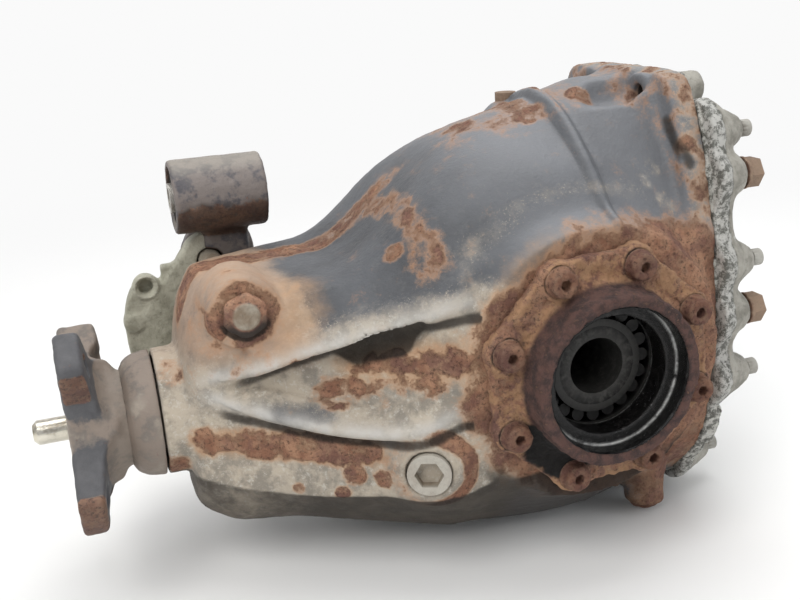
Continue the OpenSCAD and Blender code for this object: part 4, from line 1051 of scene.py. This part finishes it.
def housing_rust(p, n, broad, fine):
    x, y, z = p.T
    side = np.abs(y)
    near = y < 20
    around = np.hypot(x, z)
    turn = np.degrees(np.arctan2(z, x)) % 360
    reach = np.interp(turn, *zip(*COVER_RUST)) + 5 * broad
    rust = falloff(np.maximum(around - reach + 3, 0), 24) * ramp(side, 70, 92) * (0.9 + 0.2 * fine)
    rust = np.maximum(rust, ramp(x, 58, 72) * ramp(z, -112, -80) * (0.36 + 0.4 * fine))
    rust = np.maximum(rust, ramp(x, 40, 62) * ramp(z, 112, 132) * (0.3 + 0.3 * fine))
    rust = np.maximum(rust, ramp(x, 20, 60) * ramp(-z, 30, 60) * ramp(side, 40, 70) * 0.75)
    rust = np.maximum(rust, near_path(p, STREAK, 5, 12) * (0.95 + 0.4 * fine) * (1 - 0.4 * ramp(x, -130, -100)))
    bolt = np.hypot(x - CROSS_BOLT[0], z - CROSS_BOLT[1])
    rust = np.maximum(rust, falloff(np.maximum(bolt - 15, 0), 8) * near * (side > 30) * (0.55 + 0.4 * fine))
    rust = np.maximum(rust, near_spots(p, [(-192, -50, 42, 44)]) * (0.24 + 0.3 * fine))
    # the hollow beside the cross bolt's pad gets the darkest rust tone: rust and painted shadow
    hollow = near_spots(p, [(-198, -52, 40, 12), (-201, -52, 28, 9)])
    rust = np.maximum(rust, hollow * 1.3)
    paths = [(WRITTEN_STRIP, 2, 11, 0.98), (PANEL_LOW, 4, 9, 0.95), (PANEL_HIGH, 4, 10, 0.95), (HOOK, 2, 13, 0.7)]
    for path, r, soft, amount in paths:
        rust = np.maximum(rust, near_path(p, path, r + 2 * fine, soft) * amount * (0.8 + 0.35 * fine))
    ring = length(x - PLUG[0], z - PLUG[2])
    arc = ramp((x - PLUG[0]) / np.maximum(ring, 1), -0.35, 0.5)
    plug = falloff(np.maximum(np.abs(ring - 20) - 1.5, 0), 6) * (0.3 + 0.7 * arc) * near * (side > 50)
    rust = np.maximum(rust, plug)
    spots = [(-224, -28, -45, 13), (-147, -68, 21, 6), (-158, -66, 20, 5), 
             (-30, 0, 110, 22), (2, -20, 125, 15), (34, -20, 134, 12), (-133, -75, -49, 9), (-118, -81, -51, 8),
             (-162, -62, -57, 5), (-140, -72, -60, 6), (-100, -62, 70, 9), (56, -92, 62, 17)]
    rust = np.maximum(rust, near_spots(p, spots) * (0.72 + 0.3 * fine))
    rust = np.maximum(rust, near_spots(p, [(-219, -20, 6, 13), (-190, -56, 16, 8)]) * 0.4)
    crest = ramp(n[:, 2], 0.8, 0.97) * (side < 40) * ramp(x, -120, -90) * (1 - ramp(x, 20, 45))
    rust = np.maximum(rust, crest * (0.3 + 0.3 * broad))
    clean = near_spots(p, [(48, -78, 88, 22), (40, -60, 102, 30)])
    return rust * (1 - 0.6 * clean)


def make_housing():
    shell = sculpt("housing_shell", housing_shape, (NOSE_X - 4, -SEAT_Y - 6, -126),
                   (JOINT_X + 3, SEAT_Y + 6, 154), 1.6)
    p = points_of(shell)
    n = normals_of(shell)
    x, y, z = p.T
    side = np.abs(y)
    around = np.hypot(x, z)
    broad = rough_noise(p, 30, 5)
    fine = rough_noise(p, 7, 9)
    upper = z - curve(x, UPPER_RIB)
    lower = z - curve(x, LOWER_EDGE)
    middle_rib = z - curve(x, MIDDLE_RIB)
    flank = np.abs(n[:, 1])
    rust = housing_rust(p, n, broad, fine)

    # dust on the lower panels, the nose and the shoulder of the bell
    nose = 1 - ramp(x + 0.4 * (z - 40), -158, -128)
    panels = (1 - ramp(upper, 2, 20)) * (1 - ramp(x, -60, -20))
    # faces turned to the front (-X) get up to a sixth less dust, which darkens them: painted shade
    dust = np.maximum(panels, nose) * (0.92 + 0.12 * broad) * (1 - 0.16 * ramp(-n[:, 0], 0.3, 0.9))
    shoulder = np.exp(-((flank - 0.6) / 0.17) ** 2) * ramp(z, 10, 50) * ramp(x, -118, -90)
    dust = np.maximum(dust, shoulder * (0.2 + 0.12 * broad))
    sandy = np.exp(-((around - 94 - 4 * broad) / 8) ** 2) * (side > 60) * (z > -20) * (x < 45)
    dust = np.maximum(dust, sandy * 0.46)
    dust = np.maximum(dust, 0.05 + 0.05 * broad)
    bare = 0.6 * near_path(p, [(-168, -64, -9), (-146, -72, -14)], 2, 7)
    rib_top = np.exp(-((upper - 3) / 4.5) ** 2) * ramp(x, -200, -170)
    dust = dust * (1 - 0.75 * bare)
    white = near_spots(p, [(58, -84, 80, 16), (50, -70, 96, 15), (-92, -100, -12, 18)])
    dust = np.maximum(dust, 0.55 * white * (0.8 + 0.5 * fine))
    dust = np.maximum(dust, 0.4 * ramp(x, 20, 50) * ramp(-z, -20, 10) * (side > 60))
    dust = np.maximum(dust, 0.85 * ramp(x, 64, 74) * ramp(z, -70, -30) * (0.8 + 0.3 * fine))

    # painted shadow under the ribs and in the fold, painted shade on the underside, below the lower half of the seat's
    # edge and below the cross bolt, grime in a notch, and the inside set fully dark
    fold = ramp(x, -138, -124) * (1 - ramp(x, -104, -90))
    # painted shadow under the upper rib, wider and darker in the fold
    line = falloff(np.maximum(np.abs(upper + 7 + 3 * fold) - 1 - 5 * fold, 0), 4 + 3 * fold)
    line = line * ramp(x, -208, -170) * (x < -66)
    grime = line * (0.95 + 0.4 * fold) * (side > 36)
    # painted shadow under the middle rib
    grime = np.maximum(grime, falloff(np.maximum(np.abs(middle_rib + 7.5) - 1, 0), 4) * ramp(x, -210, -190) * (x < -72) * 0.9)
    # painted shade on the underside below the lower edge, lighter towards the nose
    turned = ramp(-lower, -0.5, 2.5) * (1 - ramp(x, 30, 60)) * (0.72 + 0.25 * ramp(x, -195, -130))
    grime = np.maximum(grime, turned)
    # painted shade below the lower half of the round seat's edge
    grime = np.maximum(grime, falloff(np.abs(around - 80) - 2, 9) * ramp(-z, 38, 60) * (side > 80) * 0.9)
    bolt = np.hypot(x - CROSS_BOLT[0], z - CROSS_BOLT[1])
    # painted shadow in a crescent below the cross bolt's head
    crescent = falloff(np.maximum(np.abs(bolt - 12.5) - 1.5, 0), 1.5) * ramp(CROSS_BOLT[1] - z, 1, 8) * (side > 30)
    grime = np.maximum(grime, crescent * (y < 0) * 1.2)
    notch = near_path(p, [(66, -60, 122), (74, -74, 98)], 2, 4)
    grime = np.maximum(grime, notch * 0.8)
    # inner surfaces are set fully dark
    inside = housing_outside(*p.T.astype(np.float32)) < -3.5
    grime = np.where(inside, 1.0, grime)
    stain = falloff(np.maximum(around - 70, 0), 20) * ramp(side, 60, 85) * (z > -10) * 0.8
    ochre = near_path(p, [(-150, -50, 56), (-148, -60, 40), (-158, -64, 26)], 5, 20)
    stain = np.maximum(stain, ochre * 0.65)
    stain = np.maximum(stain, near_path(p, PANEL_HIGH, 8, 16) * 0.8)
    stain = np.maximum(stain, near_path(p, WRITTEN_STRIP, 6, 10) * 0.7)
    stain = np.maximum(stain, near_path(p, HOOK, 6, 16) * 0.35)
    blush = (1 - ramp(x, -165, -135)) * ramp(z, 5, 30)
    # painted highlight on upward faces towards the rear, on the upper rib's crest and on the upper rear
    pale = ramp(n[:, 2], 0.5, 0.95) * ramp(x, -90, -20)
    pale = np.maximum(pale, rib_top * 0.8)
    pale = np.maximum(pale, 0.6 * ramp(x, -10, 40) * ramp(z, 30, 70))
    # painted highlight along the crests of the upper and middle ribs
    bright = np.exp(-((upper - 2) / 4) ** 2) * (1 - ramp(x, -78, -62))
    bright = np.maximum(bright, np.exp(-((middle_rib - 1) / 4.5) ** 2) * (1 - ramp(x, -88, -72)))
    bright = bright * ramp(x, -213, -195) * (side > 34) * (0.8 + 0.35 * fine)
    chips = 0.45 * near_spots(p, [(-134, -72, 36, 20), (-118, -76, 42, 16), (-150, -68, -58, 10), (-166, -60, -56, 8)])
    chips = np.maximum(chips, falloff(np.abs(lower) - 1, 3) * 0.35)
    paint(shell, rust=rust, dust=dust, grime=grime, stain=stain, blush=blush, pale=pale, chips=chips,
          bright=bright)
    heavy = np.clip(rust, 0, 1) ** 2 * ~inside
    push_out(shell, (0.12 + 0.8 * heavy) * rough_noise(p, 5.0, 21, 3) * ~inside)
    stand_in(shell, "housing")


def make_side_covers():
    right = sculpt("right_side_carrier", side_cover_shape, (-78, 70, -78), (78, OUTPUT_Y + 3, 78), 1.0)
    p = points_of(right)
    n = normals_of(right)
    x, y, z = p.T
    around = np.hypot(x, z)
    bore = ramp(-around, -SEAL_R - 1.2, -SEAL_R - 0.2)
    collar = falloff(np.maximum(around - 48.5, 0), 3) * ramp(y, SEAT_Y + 8, SEAT_Y + 12)
    # painted shade below the collar's foot on the lower side
    under = ramp(-z, 6, 30) * falloff(np.abs(around - 52), 7) * (1 - ramp(y, OUTPUT_Y - 12, OUTPUT_Y - 5))
    rim = falloff(np.abs(around - SEAL_R), 3.5) * ramp(y, OUTPUT_Y - 3, OUTPUT_Y - 1)
    # painted shade in a ring round each screw head
    gap = np.min([np.hypot(x - BOLT_CIRCLE * math.cos(a), z - BOLT_CIRCLE * math.sin(a)) for a in BOLT_ANGLES], 0)
    under = np.maximum(under, falloff(np.maximum(gap - 8.4, 0), 2.5) * 0.7)
    # painted shade of a deep oily pocket below the collar, laid on the flat plate
    oily_pocket_shade = near_spots(np.stack([x, y, z], 1), [(-36, 110, -38, 17), (-26, 110, -46, 17), (-43, 108, -28, 12)])
    under = np.maximum(under, oily_pocket_shade * 1.1)
    paint(right, oil=np.maximum(bore, rim * 0.5), collar=collar, grime=under * 0.9,
          dust=0.4 * ramp(rough_noise(p, 16, 4), -0.2, 0.8))
    # painted reflection: glint specks on the lower inside of the bore
    wet = bore * ramp(-z + 0.4 * x, 5, 34) * (0.5 + 0.5 * rough_noise(p, 9, 12))
    step = falloff(np.hypot(around - SEAL_R, y - OUTPUT_Y + 11) - 0.5, 1.2)
    lip = falloff(np.hypot(around - 33, y - high("right_bearing_cup")[1] - 1) - 0.5, 1.2)
    paint(right, wet=wet, gleam=np.maximum(step, lip) * ramp(x - z, -20, 20))
    outer = 1 - bore
    push_out(right, outer * 0.8 * rough_noise(p, 4, 33, 3))
    left = mirrored(right, "left_side_carrier")
    stand_in(right, "right_side_cover")
    stand_in(left, "left_side_cover")


SCREW_TOP = high("side_cover_bolts")[1]
LOBE_Y = SEAT_Y + 8.9


def side_screws_shape(x, y, z):
    """Cap screws of the cover on the side of positive Y."""
    d = None
    for a in BOLT_ANGLES:
        dx, dz = x - BOLT_CIRCLE * math.cos(a), z - BOLT_CIRCLE * math.sin(a)
        radial = length(dx, dz)
        head = drum(radial, y - (LOBE_Y + SCREW_TOP) / 2, 7.4, (SCREW_TOP - LOBE_Y) / 2, 1.8)
        washer = drum(radial, y - LOBE_Y - 0.7, 8.6, 0.9, 0.5)
        turn = np.arctan2(dz, dx) + a * 3
        hexagon = radial * np.cos((turn % (math.pi / 3)) - math.pi / 6) - 2.7
        one = np.maximum(join(head, washer, 1.5), -np.maximum(hexagon, SCREW_TOP - 5 - y))
        one = np.minimum(one, np.maximum(radial - 3.9, np.abs(y - LOBE_Y + 11) - 12))
        d = one if d is None else np.minimum(d, one)
    return d


def make_side_screws():
    right = sculpt("right_cap_screws", side_screws_shape, (-72, LOBE_Y - 26, -72), (72, SCREW_TOP + 3, 72), 0.8)
    p = points_of(right)
    push_out(right, 0.32 * rough_noise(p, 3, 71, 3) * (p[:, 1] > LOBE_Y + 0.5))
    left = mirrored(right, "left_cap_screws")
    for obj in (right, left):
        dress(obj, SLOT_OF["side_cover_bolts"])
        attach(obj, "housing")
    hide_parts("side_cover_bolts")


def cross_bolt_shape(x, y, z):
    """Bolt through the nose: worn flat head, small bright end."""
    start, end = low("cross_bolt")[1], high("cross_bolt")[1]
    radial = length(x - CROSS_BOLT[0], z - CROSS_BOLT[1])
    turn = np.arctan2(z - CROSS_BOLT[1], x - CROSS_BOLT[0])
    d = drum(radial, y - (start + end) / 2, 7.2, (end - start) / 2, 1.2)
    head = drum(radial + 0.5 * np.cos(6 * turn + 0.6), y - CROSS_PAD_Y + 2, 11.6, 2.3, 1.5)
    return join(d, head, 1)


def make_cross_bolt():
    bolt = sculpt("cross_bolt_forging", cross_bolt_shape, low("cross_bolt") - 4, high("cross_bolt") + 4, 0.7)
    p = points_of(bolt)
    radial = np.hypot(p[:, 0] - CROSS_BOLT[0], p[:, 2] - CROSS_BOLT[1])
    head = p[:, 1] < CROSS_PAD_Y + 2
    # painted shadow on the lower rim of the head
    below = ramp(-(p[:, 2] - CROSS_BOLT[1]), -2, 7)
    paint(bolt, rust=ramp(radial, 6.6, 8) * head * 0.95, grime=below * ramp(radial, 7.4, 9) * head * 0.95)
    push_out(bolt, 0.3 * rough_noise(p, 3.5, 91, 3) * ramp(radial, 6, 9))
    stand_in(bolt, "cross_bolt")


def drain_plug_shape(x, y, z):
    top, spot = high("drain_plug")[2], middle("drain_plug")
    radial = length(x - spot[0], y - spot[1])
    d = drum(radial, z - top + 15, 9.5, 4, 2.5)
    return join(d, drum(radial, z - top + 6, 7, 8, 1), 2)


def make_drain_plug():
    end = low("drain_plug")
    plug = sculpt("drain_plug_head", drain_plug_shape, end - 4, high("drain_plug") + 4, 0.8)
    push_out(plug, 0.5 * rough_noise(points_of(plug), 4, 81, 3))
    stand_in(plug, "drain_plug")


def make_rear_cover():
    cover = sculpt("rear_cover_shell", rear_cover_shape, (COVER_X - 3, -105, -124),
                   (COVER_BACK_X + 5, 105, 156), 1.6, 60)
    p = points_of(cover)
    smear = falloff(np.maximum(p[:, 0] - COVER_X - 5, 0), 9)
    paint(cover, smear=smear)
    push_out(cover, (0.3 + 0.5 * smear) * rough_noise(p, 5, 41, 3))
    stand_in(cover, "rear_cover")
    bead = sculpt("sealant_bead", sealant_shape, (JOINT_X - 5, -106, -126), (JOINT_X + 22, 106, 157), 1.3)
    p = points_of(bead)
    push_out(bead, 0.7 * rough_noise(p, 5, 45, 3))
    stand_in(bead, "cover_sealant")


def make_front_mount():
    eye = sculpt("mount_eye_casting", mount_eye_shape, low("mount_eye") - 5, high("mount_eye") + 5, 1.0)
    p = points_of(eye)
    n = normals_of(eye)
    # undersides get painted shade and dark rust; upward faces get dust
    below = ramp(-n[:, 2] - 0.12 * rough_noise(p, 9, 3), 0.02, 0.3)
    paint(eye, grime=0.85 * below, dust=0.6 * ramp(n[:, 2], 0.55, 0.95), rust=0.6 * below)
    push_out(eye, 0.2 * rough_noise(p, 5, 51, 3))
    stand_in(eye, "mount_eye")
    plate = sculpt("bracket_casting", bracket_shape, low("mount_bracket") - 5, high("mount_bracket") + 5, 0.9)
    push_out(plate, 0.15 * rough_noise(points_of(plate), 5, 55, 3))
    stand_in(plate, "mount_bracket")


def make_flange():
    flange = sculpt("input_flange_forging", flange_shape, low("input_flange") - 5, high("input_flange") + 5, 1.1)
    p = points_of(flange)
    n = normals_of(flange)
    radial = np.hypot(p[:, 1], p[:, 2] - PINION_Z)
    arms = ramp(radial, 32, 42)
    tips = ramp(radial, 58, 63)
    upper = p[:, 2] > PINION_Z
    below = ramp(-n[:, 2], 0.1, 0.5)
    # undersides of the upper arms and tips of the lower arms get rust and painted shade
    worn = arms * np.where(upper, below, tips)
    # arms on the far side: less paint on the upper ones, painted shade on the lower ones
    far = ramp(p[:, 1], 5, 25) * arms
    paint(flange, paint=arms * (1 - worn) * (1 - 0.7 * far * upper), rust=0.9 * worn,
          dust=0.45 * ramp(-radial, -38, -22), grime=0.55 * worn + 0.9 * far * ~upper)
    push_out(flange, 0.3 * rough_noise(p, 5, 61, 3))
    stand_in(flange, "input_flange")
    ring = sculpt("dust_ring_pressing", dust_ring_shape, low("dust_ring") - 4, high("dust_ring") + 4, 0.9)
    p = points_of(ring)
    push_out(ring, 0.12 * rough_noise(p, 4, 65, 3))
    stand_in(ring, "dust_ring")


make_housing()
make_side_covers()
make_side_screws()
make_cross_bolt()
make_drain_plug()
make_rear_cover()
make_front_mount()
make_flange()

# ------------------------------------------------------------------ CAD pieces that stay

TINY = {"left_shim", "right_shim", "pinion_shim", "side_gear_washers", "spider_washers"}
for name, obj in NODES.items():
    if obj.hide_render:
        continue
    dress(obj, SLOT_OF[name])
    if name not in TINY:
        edge = obj.modifiers.new("worn_edges", "BEVEL")
        edge.width = 0.35 * MM
        edge.segments = 2
        edge.limit_method = "ANGLE"
        edge.angle_limit = math.radians(40)

# ------------------------------------------------------------------ stage, light and camera

FLOOR_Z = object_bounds()[0][2] - 0.0002


def stage_floor():
    """Pale floor that turns up into a backdrop far behind."""
    depth, height = 9.0, 5.0
    mesh = bpy.data.meshes.new("floor")
    bend = [(-depth, 0.0), (4.0, 0.0)]
    bend += [(4.0 + 2 * math.sin(a), 2 - 2 * math.cos(a)) for a in np.linspace(0.1, math.pi / 2, 12)]
    bend.append((6.0, height))
    points = [(x, y, FLOOR_Z + z) for y, z in bend for x in (-9.0, 9.0)]
    faces = [(2 * i, 2 * i + 1, 2 * i + 3, 2 * i + 2) for i in range(len(bend) - 1)]
    mesh.from_pydata(points, [], faces)
    mesh.shade_smooth()
    obj = bpy.data.objects.new("floor", mesh)
    bpy.context.scene.collection.objects.link(obj)
    f = Finish("floor")
    tone = f.mix(rgb(240, 240, 239), rgb(236, 236, 235), f.noise(400, 3, 0.5))
    near = f.finish(tone, 0.9, specular=0.1)
    reach = f.node("ShaderNodeVectorMath", operation="DISTANCE")
    f.put(reach.inputs[0], f.space)
    reach.inputs[1].default_value = tuple(CENTRE * MM + np.array((0, 0, -0.12)))
    glow = f.node("ShaderNodeEmission")
    glow.inputs["Color"].default_value = rgb(250, 250, 250)
    blend = f.node("ShaderNodeMixShader")
    out = next(n for n in f.tree.nodes if n.type == "OUTPUT_MATERIAL")
    f.put(blend.inputs[0], f.window(reach.outputs["Value"], 0.25, 1.3))
    f.put(blend.inputs[1], out.inputs["Surface"].links[0].from_socket)
    f.put(blend.inputs[2], glow.outputs[0])
    f.put(out.inputs["Surface"], blend.outputs[0])
    obj.data.materials.append(near)


def area_light(name, place, target, size, power, colour=(1, 1, 1)):
    data = bpy.data.lights.new(name, "AREA")
    data.shape = "DISK"
    data.size = size
    data.energy = power
    data.color = colour
    obj = bpy.data.objects.new(name, data)
    obj.location = Vector(place) + Vector(CENTRE * MM)
    obj.rotation_euler = (Vector(target) - Vector(place)).to_track_quat("-Z", "Y").to_euler()
    bpy.context.scene.collection.objects.link(obj)


def set_camera():
    """Seen from the left, a little from the front and above."""
    turn, lift, roll = math.radians(-17.79), math.radians(17.8), math.radians(-3.63)
    back = Vector((math.sin(turn) * math.cos(lift), -math.cos(turn) * math.cos(lift), math.sin(lift)))
    right = Vector((math.cos(turn), math.sin(turn), 0))
    up = back.cross(right)
    right2 = math.cos(roll) * right + math.sin(roll) * up
    up2 = math.cos(roll) * up - math.sin(roll) * right
    data = bpy.data.cameras.new("camera")
    data.lens = 45.03
    data.clip_start, data.clip_end = 0.01, 50
    camera = bpy.data.objects.new("camera", data)
    place = Vector((-0.25385, -0.55109, 0.20678)) + Vector(CENTRE * MM)
    camera.matrix_world = Matrix((
        (right2.x, up2.x, back.x, place.x), (right2.y, up2.y, back.y, place.y),
        (right2.z, up2.z, back.z, place.z), (0, 0, 0, 1)))
    bpy.context.scene.collection.objects.link(camera)
    bpy.context.scene.camera = camera


stage_floor()
area_light("key", (-1.1, -1.0, 1.5), (-0.05, 0, 0), 1.3, 23, (1, 0.985, 0.96))
area_light("top", (0.2, 0.3, 1.7), (0, 0, 0), 1.6, 18)
area_light("fill", (1.3, -1.1, 0.6), (0.02, 0, 0), 1.0, 5, (0.95, 0.97, 1))
world = bpy.data.worlds.new("studio")
world.use_nodes = True
world.node_tree.nodes["Background"].inputs["Color"].default_value = (0.97, 0.98, 1, 1)
world.node_tree.nodes["Background"].inputs["Strength"].default_value = 0.55
rays = world.node_tree.nodes.new("ShaderNodeLightPath")
shown = world.node_tree.nodes.new("ShaderNodeMath")
shown.operation = "MULTIPLY_ADD"
shown.inputs[1].default_value = 0.42          # what the camera sees is as pale as the far floor
shown.inputs[2].default_value = 0.55
world.node_tree.links.new(rays.outputs["Is Camera Ray"], shown.inputs[0])
world.node_tree.links.new(shown.outputs[0], world.node_tree.nodes["Background"].inputs["Strength"])
bpy.context.scene.world = world
bpy.context.scene.view_settings.view_transform = "Standard"
set_camera()
